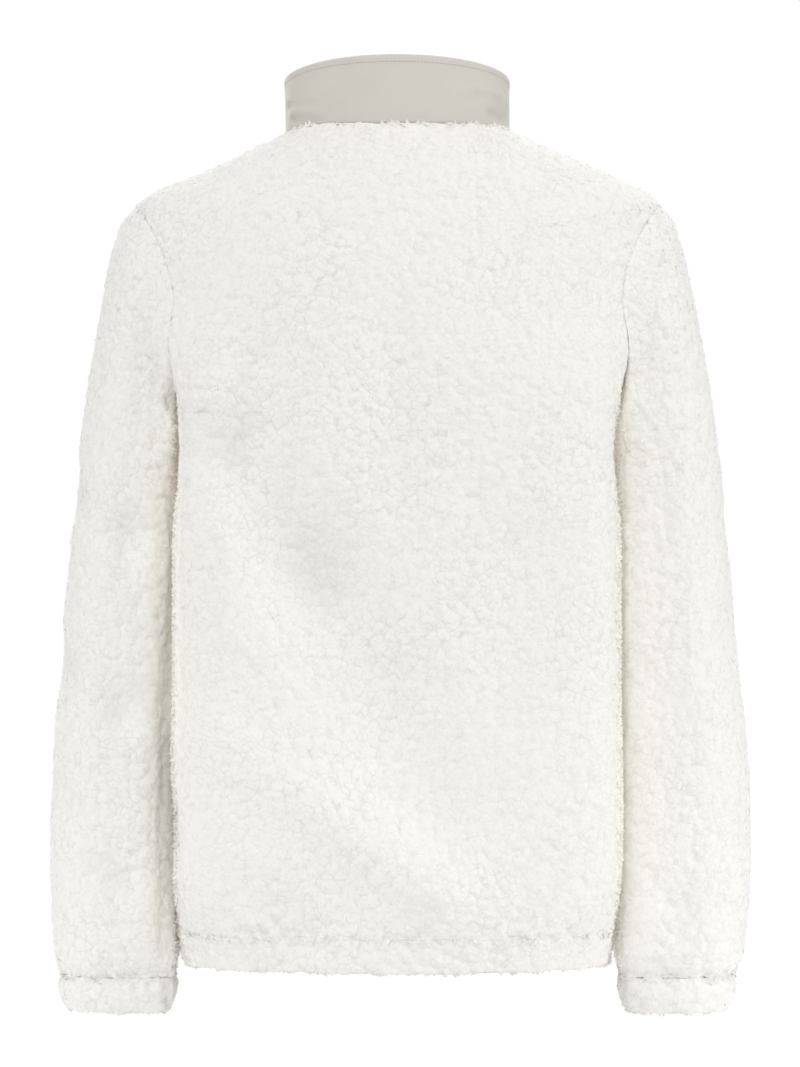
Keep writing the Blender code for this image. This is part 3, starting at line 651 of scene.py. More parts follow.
def apply_nodes(obj, tree, **values):
    """Run a geometry-node tree on an object once and keep the result as its plain mesh."""
    modifier = obj.modifiers.new(tree.name, "NODES")
    modifier.node_group = tree
    for item in tree.interface.items_tree:
        if item.in_out == "INPUT" and item.name in values:
            modifier[item.identifier] = values[item.name]
    shape = obj.evaluated_get(bpy.context.evaluated_depsgraph_get())
    mesh = bpy.data.meshes.new_from_object(shape)
    obj.modifiers.remove(modifier)
    old = obj.data
    obj.data = mesh
    bpy.data.meshes.remove(old)
    mesh.name = obj.name
    return obj


print("nodes in the tree that lays pile:", len(LAY_PILE.nodes))

# %% Pile pattern for the material
PILE_COLOUR = (0.908, 0.893, 0.860)
# painted shade in the gaps between cobbles; each lock's random tint also leans towards it
GAP_SHADE_COLOUR = (0.53, 0.49, 0.42)
PAINTED_VALLEY_GLOW = (0.0475, 0.0440, 0.0380)   # painted glow: warm light emitted in a valley, standing in for the light that fibres pass on into it


def ramp(tree, value, low, high, start=0.0, end=1.0, smooth=True):
    """The value's place between low and high, as a number from start to end."""
    node = add_node(tree, "ShaderNodeMapRange", {"Value": value, "From Min": low, "From Max": high,
                                                 "To Min": start, "To Max": end})
    node.interpolation_type = "SMOOTHSTEP" if smooth else "LINEAR"
    return node.outputs[0]


def broken_shade_lines(tree, edges, reach, patches, low, high, strength):
    """Thin lines of painted shade along cell edges, shown only in some patches."""
    line = ramp(tree, edges, 0.0, reach, strength, 0.0)
    return math_node(tree, "MULTIPLY", line, ramp(tree, patches, low, high))


def pile_group():
    """Shader group: colour, with painted shade between cobbles, and bump height of curly pile at a place."""
    tree, start, end = new_tree("curly_pile", "ShaderNodeTree",
                                (("Place", "Vector"), ("Pile colour", "Color"), ("Gap colour", "Color"),
                                 ("Gap depth", "Float")), (("Colour", "Color"), ("Height", "Float")))
    rest = start["Place"]
    place = bent_place(tree, rest)
    patches = noise_at(tree, rest, PATCH_SCALE)
    curl = hard_cells(tree, place, CURL)
    # painted shade: wide lines between cobbles in some patches, narrow ones between curls in the others
    wide = broken_shade_lines(tree, cell_edges(tree, place, CLUMP), 0.10, patches, 0.38, 0.60, 1.0)
    narrow = broken_shade_lines(tree, math_node(tree, "SUBTRACT", 0.85, curl), 0.25, patches, 0.62, 0.42, 0.55)
    brushed = ramp(tree, noise_at(tree, rest, BRUSHED_SCALE), 0.36, 0.60, 0.45, 1.30, smooth=False)
    lines = math_node(tree, "MULTIPLY", math_node(tree, "MAXIMUM", wide, narrow), brushed)
    deep = math_node(tree, "MULTIPLY", lines, start["Gap depth"])
    colour = mix_colour(tree, deep, start["Pile colour"], start["Gap colour"])
    # the height is a dome over each cobble and each curl, with fibres on top
    clump = hard_cells(tree, place, CLUMP)
    domes = math_node(tree, "ADD", squared(tree, clump, 2.6), squared(tree, curl, 1.4))
    fibre = math_node(tree, "MULTIPLY", noise_at(tree, rest, FIBRE_SCALE), 0.5)
    tree.links.new(colour, end["Colour"])
    tree.links.new(math_node(tree, "SUBTRACT", fibre, domes), end["Height"])
    return tree


PILE_GROUP = pile_group()
print("nodes in the pile's colour group:", len(PILE_GROUP.nodes))

# %% Pile and lock materials
GAP_SHADE_STRENGTH = 0.21            # how strongly the painted shade darkens the gaps between cobbles
# share of the painted valley glow that the loose locks emit
LOCK_PAINTED_GLOW_SHARE = 0.45


def painted_glow_group():
    """Shader group: the painted glow, times the valley's weight on the mesh."""
    tree, start, end = new_tree("valley_glow", "ShaderNodeTree",
                                (("Glow", "Vector"),), (("Colour", "Color"),))
    valley = add_node(tree, "ShaderNodeAttribute", attribute_name="valley")
    tree.links.new(scaled(tree, start["Glow"], valley.outputs["Fac"]), end["Colour"])
    return tree


PAINTED_GLOW_GROUP = painted_glow_group()


def sherpa_material(name, painted_glow_share):
    """Cream pile with a painted glow in a valley; its tree is handed back for its colour."""
    finish, tree, shader = new_material(name, PILE_COLOUR, 0.95, sheen=0.2)
    glow = place_group(tree, PAINTED_GLOW_GROUP, Glow=tuple(painted_glow_share * channel for channel in PAINTED_VALLEY_GLOW))
    tree.links.new(glow["Colour"], shader.inputs["Emission Color"])
    shader.inputs["Emission Strength"].default_value = 1.0
    return finish, tree, shader


SHERPA, pile_tree, pile_shader = sherpa_material("sherpa_pile", 1.0)
rest = add_node(pile_tree, "ShaderNodeAttribute", attribute_name="rest")
curly = place_group(pile_tree, PILE_GROUP, Place=rest.outputs["Vector"], Gap_depth=GAP_SHADE_STRENGTH,
                    Pile_colour=(*PILE_COLOUR, 1), Gap_colour=(*GAP_SHADE_COLOUR, 1))
colour_from(pile_tree, pile_shader, curly["Colour"])
add_bump(pile_tree, pile_shader, curly["Height"], 0.42, 0.0010)

# each loose lock has one even tint, kept on its own points
LOCKS, lock_tree, lock_shader = sherpa_material("sherpa_locks", LOCK_PAINTED_GLOW_SHARE)
tint = add_node(lock_tree, "ShaderNodeAttribute", attribute_name="tint")
colour_from(lock_tree, lock_shader,
            mix_colour(lock_tree, tint.outputs["Fac"], (*PILE_COLOUR, 1), (*GAP_SHADE_COLOUR, 1)))
print("pile finishes:", SHERPA.name, LOCKS.name)

# %% [markdown]
# ## Woven and knitted finishes
# The inside of sherpa is a plain knit, and collar and tapes are plain weaves. Both are two waves that
# cross, read from the UV map, so the threads follow each piece as they would if it were cut from a roll.

# %% Knitted backing and nylon materials
def crossed_threads_group():
    """Shader group: height of threads that cross, from scales per metre and how much each set bends."""
    tree, start, end = new_tree("crossed_threads", "ShaderNodeTree",
                                (("Place", "Vector"), ("Across", "Float"), ("Along", "Float"),
                                 ("Across bend", "Float"), ("Along bend", "Float")), (("Height", "Float"),))
    threads = [add_node(tree, "ShaderNodeTexWave",
                        {"Vector": start["Place"], "Scale": start[way], "Distortion": start[way + " bend"]},
                        bands_direction=axis).outputs["Fac"]
               for way, axis in (("Across", "X"), ("Along", "Y"))]
    tree.links.new(math_node(tree, "MULTIPLY", *threads), end["Height"])
    return tree


def uneven_dye_group():
    """Shader group: a cloudy mix of two colours, and the cloud itself."""
    tree, start, end = new_tree("uneven_dye", "ShaderNodeTree",
                                (("Place", "Vector"), ("Dark", "Color"), ("Light", "Color")),
                                (("Colour", "Color"), ("Cloud", "Float")))
    cloud = noise_at(tree, start["Place"], 45.0, 3.0)
    tree.links.new(mix_colour(tree, cloud, start["Dark"], start["Light"]), end["Colour"])
    tree.links.new(cloud, end["Cloud"])
    return tree


THREADS_GROUP = crossed_threads_group()
DYE_GROUP = uneven_dye_group()


def cloth_place(tree):
    return add_node(tree, "ShaderNodeUVMap", uv_map="cloth").outputs[0]


def backing_material():
    finish, tree, shader = new_material("knit_backing", (0.80, 0.78, 0.74), 0.9)
    knit = place_group(tree, THREADS_GROUP, Place=cloth_place(tree), Across=130.0, Along=95.0,
                       Across_bend=0.6, Along_bend=0.8)["Height"]
    add_bump(tree, shader, knit, 0.5, 0.0004)
    colour_from(tree, shader, mix_colour(tree, knit, (0.72, 0.70, 0.66, 1), (0.82, 0.80, 0.76, 1)))
    return finish


def nylon_material(name, colour):
    finish, tree, shader = new_material(name, colour, 0.62, sheen=0.15)
    place = cloth_place(tree)
    weave = place_group(tree, THREADS_GROUP, Place=place, Across=620.0, Along=620.0,
                        Across_bend=0.4, Along_bend=0.4)["Height"]
    darker = tuple(0.93 * channel for channel in colour)
    dye = place_group(tree, DYE_GROUP, Place=place, Dark=(*darker, 1), Light=(*colour, 1))
    height = math_node(tree, "ADD", weave, math_node(tree, "MULTIPLY", dye["Cloud"], 1.5))
    add_bump(tree, shader, height, 0.25, 0.0003)
    colour_from(tree, shader, dye["Colour"])
    return finish


BACKING = backing_material()
NYLON = nylon_material("collar_nylon", (0.665, 0.638, 0.580))
TAPE = nylon_material("zip_tape_weave", (0.56, 0.54, 0.48))
print("woven and knitted finishes:", BACKING.name, NYLON.name, TAPE.name)

# %% [markdown]
# ## The torso
# A maker cuts one back and two fronts and sews them together. Draping a flat pattern would need a cloth
# solver, so here back and fronts share one surface instead, cut along the side seams, shoulder seams,
# armholes and the zip. Rows climb from the hem casing to the neck. Beside the armhole each row starts
# at the armhole's edge, so that no hole has to be cut into a finished mesh.

# %% Panel grids
SPACING = 0.0027            # between grid points of the pile's mesh
FINE_SPACING = 0.0025       # and of the collar and zip tapes
PANEL_WIDTH, SLEEVE_ROUND, CUFF_ROUND = 0.26, 0.40, 0.30    # set how many columns each grid has


def whole_steps(length):
    """Number of grid steps along a length, a multiple of the inner grid's step."""
    return max(INNER_STEP, INNER_STEP * round(length / SPACING / INNER_STEP))


def panel_keys():
    """Ring keys of a panel's rows and the number of the first row beside and above the armhole."""
    below = np.linspace(KEY["casing"], KEY["armpit"], whole_steps(KEY["armpit"] - KEY["casing"]) + 1)
    share = np.linspace(0.0, 1.0, whole_steps(KEY["tip"] - KEY["armpit"]) + 1)
    # rows crowd towards both ends of the armhole, where its edge runs along them
    crowded = 0.5 * share + 0.5 * (1 - np.cos(math.pi * share)) / 2
    beside = KEY["armpit"] + (KEY["tip"] - KEY["armpit"]) * crowded
    above = np.linspace(KEY["tip"], KEY["neck"], whole_steps(KEY["neck"] - KEY["tip"]) + 1)
    return np.concatenate((below[:-1], beside, above[1:])), len(below) - 1, len(below) + len(beside) - 2


def panel_edge(keys, first, last):
    """Start angle of each row, and the armhole turn (or nothing) at its first point."""
    cosine = np.clip((keys - ARMHOLE_MIDDLE) / ARMHOLE_HALF, -1, 1)
    turns = np.arccos(cosine)
    beside = np.zeros(len(keys), dtype=bool)
    beside[first:last + 1] = True
    return np.where(beside, ARMHOLE_HALF_ANGLE * np.sin(turns), 0.0), turns, beside


def panel_grids(keys, half, side, wall, first=None, last=None):
    """Outer grid and inward offsets of one side's half of the back (half 1) or front (-1)."""
    if first is None:
        start, turns, beside = np.zeros(len(keys)), np.zeros(len(keys)), np.zeros(len(keys), dtype=bool)
    else:
        start, turns, beside = panel_edge(keys, first, last)
    front_y = smooth_through(TORSO_KEYS, TORSO_TABLE[:, TORSO_COLUMNS.index("front_y")], keys)
    end = np.full(len(keys), math.pi / 2) if half > 0 else np.arctan2(ZIP_HALF_GAP, front_y) - math.pi / 2
    share = np.linspace(0, 1, PANEL_COLUMNS + 1)[None, :]
    angles = (half * start)[:, None] + (end - half * start)[:, None] * share
    grid_keys = np.broadcast_to(keys[:, None], angles.shape)
    outer = torso_points(angles, grid_keys, side)
    inward = -torso_normals(angles, grid_keys)
    if first is not None:
        below = inward[first, 0].copy()
        inward[beside, 0] = armhole_inward(half * turns[beside], side)
        inward[first, 0] = unit(inward[first, 0] + below)
        inward[-1] = neck_rim(angles[-1], side)[1]
    inward[:, -1, 0] = 0.0
    inward[:, -1] = unit(inward[:, -1])
    outer[:, -1, 0] = 0.0 if half > 0 else ZIP_HALF_GAP
    outer[np.abs(start) < 1e-9, 0, 1] += half * SEAM_GAP / 2
    return mirrored(outer, side), mirrored(inward, side) * wall


def coarse(grid):
    """Every fourth point of a grid, for the inner face."""
    return grid[::INNER_STEP, ::INNER_STEP]


def whole_back(keys, wall, first=None, last=None):
    """Left and right halves of a back joined at the centre line."""
    left = panel_grids(keys, 1, 1, wall, first, last)
    right = panel_grids(keys, 1, -1, wall, first, last)
    return [np.concatenate((a, b[:, -2::-1]), axis=1) for a, b in zip(left, right)]


def thinned_shell(name, outer, offset, pile, closed=False, materials=()):
    """A shell whose inner face lies at the offsets from every fourth outer point."""
    return shell(name, outer, coarse(outer) + coarse(offset), pile, closed, materials)


def cloth_piece(name, outer, offset, closed=False):
    """A sherpa shell with its pile laid."""
    obj = thinned_shell(name, outer, offset, pile_weight(outer, closed), closed, (SHERPA, BACKING))
    return apply_nodes(obj, LAY_PILE)


# %% [markdown]
# ## Gathered bands
# The hem casing and the cuffs are turned double over elastic. The elastic draws them in, so short
# upright ripples run from the seam into the band, and the folded edge is round.

# %% Ripples and round edges
RIPPLE = 0.0009
RIPPLE_WAVES = (0.031, 0.022, 0.0165, 0.0125)   # wavelengths along the seam
RIPPLE_SUM = 2.6                                # divides their sum, to bring it to about -1 to 1
RIPPLE_SWELL = 0.13                             # each wave grows and fades over this length
RIPPLE_REACH = 0.013                            # how far ripples run into the cloth beside a band
LEFT_BUNCHING = 1.3
SEAM_NIP = 0.0003
NIP_REACH = 0.005
FOLD_DROPS = (0.0, 0.0002, 0.0007, 0.0016)      # distances of close rows from the folded edge
FIRST_PLAIN_DROP = 0.003
PLAIN_ROWS = 13
INNER_SHARE = 0.999                             # keeps a hair between the two faces at the fold


def ripples(run, seed):
    """Irregular ripple heights along a seam, -1 to 1, from a few waves that don't line up."""
    random = np.random.default_rng(seed)
    total = np.zeros_like(run)
    for wave in RIPPLE_WAVES:
        strength = 0.6 + 0.4 * np.sin(2 * math.pi * (run / RIPPLE_SWELL + random.random()))
        total += strength * np.sin(2 * math.pi * (run / wave + random.random()))
    return total / RIPPLE_SUM


def gathers(outer, seed):
    """Ripple height over a grid: strongest on the wearer's left, where the elastic has bunched."""
    run = np.cumsum(np.linalg.norm(np.diff(outer, axis=1, prepend=outer[:, :1]), axis=-1), axis=1)
    return RIPPLE * ripples(run, seed) * (1 + LEFT_BUNCHING * smooth_step(-0.02, 0.13, outer[..., 0]))


def drawn_in(outer, offset, away, seed):
    """Cloth beside an elastic band: its ripples and the nip run on for a little way and fade."""
    nip = SEAM_NIP * np.exp(-(away / NIP_REACH) ** 2)
    wave = gathers(outer, seed) * np.exp(-(away / RIPPLE_REACH) ** 2)[:, None]
    return outer + unit(offset) * (nip[:, None] - wave)[..., None]


def rounded(away, radius):
    """How far the face falls back at distances from an edge that is rounded to a radius."""
    return radius - np.sqrt(np.maximum(radius ** 2 - np.maximum(radius - away, 0) ** 2, 0))


def band_shape(outer, offset, drop, height, wall, seed):
    """Band grid with its folded edge rounded, a nip at the seam and ripples in between."""
    inward = unit(offset)
    rounding = rounded(drop, wall / 2)
    nip = SEAM_NIP * np.exp(-((height - drop) / NIP_REACH) ** 2)
    wave = gathers(outer, seed) * (0.35 + 0.65 * smooth_step(0.0, 0.008, drop))[:, None]
    move = rounding[:, None] + nip[:, None] - wave
    shaped = outer + inward * move[..., None]
    inner = offset - inward * (2 * rounding + nip)[:, None, None] * INNER_SHARE
    return shaped, inner


# %% Back and fronts
PIECES = {}
HEM_SEEDS = {"hem_back": 11, "hem_front_left": 23, "hem_front_right": 37}
PANEL_COLUMNS = whole_steps(PANEL_WIDTH)
keys, first, last = panel_keys()
outer, offset = whole_back(keys, SHERPA_WALL, first, last)
above = outer[:, outer.shape[1] // 2, 2] - outer[0, outer.shape[1] // 2, 2]
outer = drawn_in(outer, offset, above, HEM_SEEDS["hem_back"])
outer[0] += (0, 0, SEAM_GAP)
PIECES["back"] = cloth_piece("sherpa_back", outer, offset)
for side, label in ((1, "left"), (-1, "right")):
    outer, offset = panel_grids(keys, -1, side, SHERPA_WALL, first, last)
    outer = drawn_in(outer, offset, above, HEM_SEEDS["hem_front_" + label])
    outer[0] += (0, 0, SEAM_GAP)
    PIECES["front_" + label] = cloth_piece("sherpa_front_" + label, outer, offset)
print("torso panels:", {name: len(obj.data.polygons) for name, obj in PIECES.items()})

# %% Hem casing
hem_height = TORSO_RINGS["casing"][0] - TORSO_RINGS["hem"][0]
plain_share = np.linspace(FIRST_PLAIN_DROP / hem_height, 1.0, PLAIN_ROWS)
hem_share = np.concatenate((np.array(FOLD_DROPS) / hem_height, plain_share))
hem_keys = KEY["casing"] * hem_share
hem_drop = hem_share * hem_height
hems = {"hem_back": whole_back(hem_keys, BAND_WALL),
        "hem_front_left": panel_grids(hem_keys, -1, 1, BAND_WALL),
        "hem_front_right": panel_grids(hem_keys, -1, -1, BAND_WALL)}
for name, (outer, offset) in hems.items():
    shaped, inner = band_shape(outer, offset, hem_drop, hem_height, BAND_WALL, HEM_SEEDS[name])
    PIECES[name] = cloth_piece("sherpa_" + name, shaped, inner)
print("hem casing rows:", len(hem_keys))

# %% [markdown]
# ## Sleeves and cuffs
# A sleeve is a tube of rings. Each ring is set by its outermost and innermost point and its depth, so
# the tube can leave the armhole sideways and still hang straight down at the wrist. Its first row is the
# armhole's own line, so the sleeve meets the body all the way round, as it does when it is sewn in.

# %% Sleeve surface
def sleeve_base(table, side, turns, along):
    """Points of a sleeve at turns (0 outer, pi/2 back, pi inner) and distances along its middle."""
    column = dict(zip(SLEEVE_COLUMNS, table.T))
    middles = np.stack(((column["out_left"] + column["in_x"]) / 2, (column["out_z"] + column["in_z"]) / 2),
                       axis=-1)
    stations = running_length(middles)
    along = np.clip(along, 0.0, stations[-1])
    names = ("out_left" if side > 0 else "out_right",) + SLEEVE_COLUMNS[2:]
    out, out_z, in_x, in_z, depth, mid_y = (smooth_through(stations, column[name], along) for name in names)
    square = np.where(np.cos(turns) > 0, *SLEEVE_SQUARE)
    radius = (np.abs(np.cos(turns)) ** square + np.abs(np.sin(turns)) ** square) ** (-1 / square)
    x = (out + in_x) / 2 + radius * np.cos(turns) * (out - in_x) / 2
    y = mid_y + radius * np.sin(turns) * depth
    z = (out_z + in_z) / 2 + radius * np.cos(turns) * (out_z - in_z) / 2
    return np.stack((x, y, z), axis=-1), stations[-1]


ROLL_X = 0.184                # the roll is strongest this far from the middle of the body
ROLL_DEPTH = 0.004
ROLL_GROWTH = 0.006           # more of it near the cuff


def rolled_under(points):
    """How far the left sleeve's inner back and front roll away from the body, more towards the cuff."""
    low = smooth_step(0.33, 0.50, -points[..., 2])
    near = np.exp(-((points[..., 0] - ROLL_X) / (0.011 + 0.004 * low)) ** 2)
    faces = smooth_step(0.030, 0.048, np.abs(points[..., 1] - SLEEVE_MIDDLE_Y))
    faces = faces * smooth_step(0.235, 0.300, -points[..., 2])
    return (ROLL_DEPTH + ROLL_GROWTH * low) * near * faces * smooth_step(-0.700, -0.660, points[..., 2])


def sleeve_grids(table, side, stations, columns, wall):
    """Outer grid and inward offsets of a sleeve or cuff, mirrored for the wearer's right."""
    turns = 2 * math.pi * np.arange(columns) / columns
    turns, along = np.meshgrid(turns, stations)
    total = sleeve_base(table, side, turns[:1], along[:1])[1]

    def surface(u, v):
        return sleeve_base(table, side, u, v)[0]

    base = surface(turns, along)
    inward = normals_of(surface, turns, np.clip(along, CURVE_MARGIN, total - CURVE_MARGIN))
    lift = fold_height(mirrored(base, side))[..., None]
    if side > 0:
        lift = lift - rolled_under(base)[..., None]
    return mirrored(base - lift * inward, side), mirrored(inward * wall, side)


# %% Sleeves
ARMHOLE_LEAD = 0.012        # extra length for the row that follows the armhole
sleeve_table = np.array(SLEEVE_RINGS)
SLEEVE_COLUMN_COUNT = whole_steps(SLEEVE_ROUND)
sleeve_turns = 2 * math.pi * np.arange(SLEEVE_COLUMN_COUNT) / SLEEVE_COLUMN_COUNT
sleeve_total = sleeve_base(sleeve_table, 1, np.zeros(1), np.zeros(1))[1]
stations = np.linspace(0.0, sleeve_total, whole_steps(sleeve_total + ARMHOLE_LEAD))
for side, label in ((1, "left"), (-1, "right")):
    outer, offset = sleeve_grids(sleeve_table, side, stations, SLEEVE_COLUMN_COUNT, SHERPA_WALL)
    ring = mirrored(armhole_points(sleeve_turns, side) + (SEAM_GAP, 0, 0), side)
    rim = mirrored(armhole_inward(sleeve_turns, side), side) * SHERPA_WALL
    outer = np.concatenate((ring[None], outer))
    offset = np.concatenate((rim[None], offset))
    outer = drawn_in(outer, offset, outer[:, 0, 2] - outer[-1, 0, 2], 2 + side)
    PIECES["sleeve_" + label] = cloth_piece("sherpa_sleeve_" + label, outer, offset, closed=True)

# %% Cuffs
cuff_table = np.array(CUFF_RINGS)
cuff_total = sleeve_base(cuff_table, 1, np.zeros(1), np.zeros(1))[1]
cuff_drop = np.concatenate((FOLD_DROPS, np.linspace(FIRST_PLAIN_DROP, cuff_total, PLAIN_ROWS)))
for side, label, seed in ((1, "left", 5), (-1, "right", 8)):
    outer, offset = sleeve_grids(cuff_table, side, cuff_total - cuff_drop, whole_steps(CUFF_ROUND), BAND_WALL)
    shaped, inner = band_shape(outer, offset, cuff_drop, cuff_total, BAND_WALL, seed)
    PIECES["cuff_" + label] = cloth_piece("sherpa_cuff_" + label, shaped, inner, closed=True)
print("sleeves and cuffs:", {name: len(obj.data.polygons) for name, obj in PIECES.items() if name[0] in "sc"})

# %% [markdown]
# ## The stand collar
# The collar is woven nylon over a stiff interlining: a smooth band with a topstitched edge and a few
# creases near each shoulder, where the neck seam pulls on it. It stands on the neck seam and rises to an
# oval of its own, and the creases are a second table of fold lines.

# %% Collar surface and creases
COLLAR_FOLDS = np.array((
    (0.0895, 0.016, 0.0290, 0.0660, 0.043, 0.0275, 0.0028, 0.0017),
    (0.0895, 0.016, 0.0245, 0.0660, 0.043, 0.0235, 0.0026, -0.0017),
    (0.0860, 0.024, 0.0195, 0.0590, 0.048, 0.0160, 0.0032, 0.0020),
    (0.0860, 0.024, 0.0125, 0.0620, 0.046, 0.0095, 0.0030, -0.0020),
    (0.0870, 0.022, 0.0040, 0.0800, 0.033, -0.0015, 0.0030, -0.0027),
    (-0.0530, 0.050, 0.0325, -0.0640, 0.044, 0.0355, 0.0034, 0.0017),
    (-0.0640, 0.044, 0.0355, -0.0800, 0.032, 0.0335, 0.0034, 0.0017),
    (-0.0800, 0.032, 0.0335, -0.0890, 0.018, 0.0265, 0.0034, 0.0017),
    (-0.0760, 0.036, 0.0160, -0.0870, 0.022, 0.0130, 0.0050, -0.0031),
    (0.0290, -0.078, -0.0080, 0.0620, -0.055, -0.0020, 0.0040, 0.0017),
    (-0.0280, -0.078, -0.0200, -0.0600, -0.058, -0.0100, 0.0040, -0.0019),
    (-0.0780, -0.038, 0.0130, -0.0900, -0.012, 0.0170, 0.0034, 0.0017),
))


def collar_base(angles, rise):
    """Points of the collar at angles and rises, from the neck seam (0) to the top edge (1)."""
    point, inward, upward = neck_rim(angles)
    low = point + COLLAR_INSET * inward + SEAM_GAP * upward
    high = ring_points(COLLAR_TOP, angles)
    return low + (high - low) * rise[..., None]


# %% Collar
COLLAR_ROUND = 0.53
COLLAR_COLUMNS = INNER_STEP * round(COLLAR_ROUND / FINE_SPACING / INNER_STEP)
COLLAR_HEIGHT = 0.057
COLLAR_EDGE_RADIUS = 0.0015
STITCH_DROP = 0.0062        # of the topstitching below the collar's edge
STITCH_GROOVE = 0.00055
EDGE_ROLL = 0.00050         # the cloth stands up between the stitches and the edge
edge_angle = math.atan2(ZIP_HALF_GAP, COLLAR_TOP[TORSO_COLUMNS.index("front_y")])
angles = np.linspace(edge_angle - math.pi / 2, 3 * math.pi / 2 - edge_angle, COLLAR_COLUMNS + 1)
rises = np.concatenate((np.linspace(0, 0.95, 21), (0.965, 0.98, 0.99, 1.0)))
angle_grid, rise_grid = np.meshgrid(angles, rises)
base = collar_base(angle_grid, rise_grid)
inward = -normals_of(collar_base, angle_grid, np.clip(rise_grid, 0.05, 0.95), dv=0.04)
inward[0] = neck_rim(angles)[1]
for column in (0, -1):
    inward[:, column, 0] = 0.0
    inward[:, column] = unit(inward[:, column])
    base[:, column, 0] = math.copysign(ZIP_HALF_GAP, base[0, column, 0])
from_top = COLLAR_HEIGHT * (1 - rises)
roll = EDGE_ROLL * smooth_step(STITCH_DROP + 0.001, STITCH_DROP - 0.001, from_top)
groove = -STITCH_GROOVE * np.exp(-((from_top - STITCH_DROP) / 0.0008) ** 2)
rounding = rounded(from_top, COLLAR_EDGE_RADIUS)
move = rounding - roll - groove
outer = base + inward * (move[:, None] - fold_height(base, COLLAR_FOLDS))[..., None]
offset = inward * (COLLAR_WALL - 2 * rounding)[:, None, None]
PIECES["collar"] = thinned_shell("nylon_collar", outer, offset, np.zeros(outer.shape[:2]),
                                 materials=(NYLON, NYLON))
print("collar faces:", len(PIECES["collar"].data.polygons))

# %% [markdown]
# ## Rows of stitches
# The collar is topstitched 6 mm below its edge and beside the zip. A stitch is one short grain of
# thread, and a seam is that grain repeated along a line, which is what Geometry Nodes do best: the line
# is cut into equal steps and every step gets the same grain, turned along the line.

# %% Row tree
def repeat_along_tree(name, grain):
    """Geometry nodes that set one grain at every step of a line. `grain` adds the grain's own nodes."""
    sizes = [(label, "Float") for label in ("Step", "Across", "Deep", "Along")]
    tree, start, end = new_tree(name, "GeometryNodeTree",
                                (("Geometry", "Geometry"), *sizes, ("Finish", "Material")),
                                (("Geometry", "Geometry"),))
    line = add_node(tree, "GeometryNodeMeshToCurve", {"Mesh": start["Geometry"]})
    steps = add_node(tree, "GeometryNodeCurveToPoints", {"Curve": line.outputs[0], "Length": start["Step"]},
                     mode="LENGTH")
    turn = add_node(tree, "FunctionNodeAlignRotationToVector", {"Vector": steps.outputs["Tangent"]}, axis="Z")
    size = add_node(tree, "ShaderNodeCombineXYZ",
                    {"X": start["Across"], "Y": start["Deep"], "Z": start["Along"]})
    shape = add_node(tree, "GeometryNodeTransform", {"Geometry": grain(tree), "Scale": size.outputs[0]})
    laid = add_node(tree, "GeometryNodeInstanceOnPoints",
                    {"Points": steps.outputs["Points"], "Instance": shape.outputs[0],
                     "Rotation": turn.outputs[0]})
    real = add_node(tree, "GeometryNodeRealizeInstances", {"Geometry": laid.outputs[0]})
    dressed = add_node(tree, "GeometryNodeSetMaterial",
                       {"Geometry": real.outputs[0], "Material": start["Finish"]})
    tree.links.new(dressed.outputs[0], end[0])
    return tree


def thread_grain(tree):
    ball = add_node(tree, "GeometryNodeMeshUVSphere", {"Segments": 6, "Rings": 4, "Radius": 0.5})
    return add_node(tree, "GeometryNodeSetShadeSmooth", {"Geometry": ball.outputs["Mesh"]}).outputs[0]


def tooth_grain(tree):
    peg = add_node(tree, "GeometryNodeMeshCylinder", {"Vertices": 8, "Radius": 0.5, "Depth": 1.0})
    return peg.outputs["Mesh"]


SEW = repeat_along_tree("sew_line", thread_grain)
SET_TEETH = repeat_along_tree("set_teeth", tooth_grain)


def row_along(name, lines, tree, **sizes):
    """A piece of grains along one or more lines of points."""
    mesh = bpy.data.meshes.new(name)
    points, edges = [], []
    for line in lines:
        edges += [(len(points) + i, len(points) + i + 1) for i in range(len(line) - 1)]
        points += np.asarray(line).tolist()
    mesh.from_pydata(points, edges, [])
    return apply_nodes(placed(name, mesh), tree, **sizes)


def between(grid, place):
    """Row of a grid at a place between whole rows."""
    low = min(int(place), len(grid) - 2)
    return grid[low] + (grid[low + 1] - grid[low]) * (place - low)


print("row trees:", SEW.name, SET_TEETH.name)

# %% [markdown]
# ## Thread and zip finishes
# Thread shows its twist as slanting bands. Zip parts are lacquered or moulded, so they get a faint orange
# peel, and patches where hands have rubbed them lighter. All three are read from the object's own place,
# because grains and small solids have no UV map.

# %% Thread and metal finishes
def thread_material():
    finish, tree, shader = new_material("sewing_thread", (0.47, 0.455, 0.40), 0.55, sheen=0.2)
    place = tree.nodes.new("ShaderNodeTexCoord").outputs["Object"]
    twist = add_node(tree, "ShaderNodeTexWave", {"Vector": place, "Scale": 900.0, "Distortion": 1.0},
                     bands_direction="DIAGONAL").outputs["Fac"]
    add_bump(tree, shader, twist, 0.4, 0.0001)
    colour_from(tree, shader, mix_colour(tree, twist, (0.38, 0.365, 0.32, 1), (0.50, 0.485, 0.43, 1)))
    return finish


def handled_group():
    """Shader group: patches that hands rubbed lighter, of changing roughness, and faint orange peel."""
    tree, start, end = new_tree("handled_surface", "ShaderNodeTree",
                                (("Place", "Vector"), ("Plain", "Color"), ("Rubbed", "Color"),
                                 ("Smoothest", "Float")),
                                (("Colour", "Color"), ("Roughness", "Float"), ("Height", "Float")))
    rubbed = noise_at(tree, start["Place"], 260.0, 3.0)
    rough = math_node(tree, "ADD", math_node(tree, "MULTIPLY", rubbed, 0.25), start["Smoothest"])
    tree.links.new(mix_colour(tree, rubbed, start["Plain"], start["Rubbed"]), end["Colour"])
    tree.links.new(rough, end["Roughness"])
    tree.links.new(noise_at(tree, start["Place"], 1500.0), end["Height"])
    return tree


HANDLED_GROUP = handled_group()


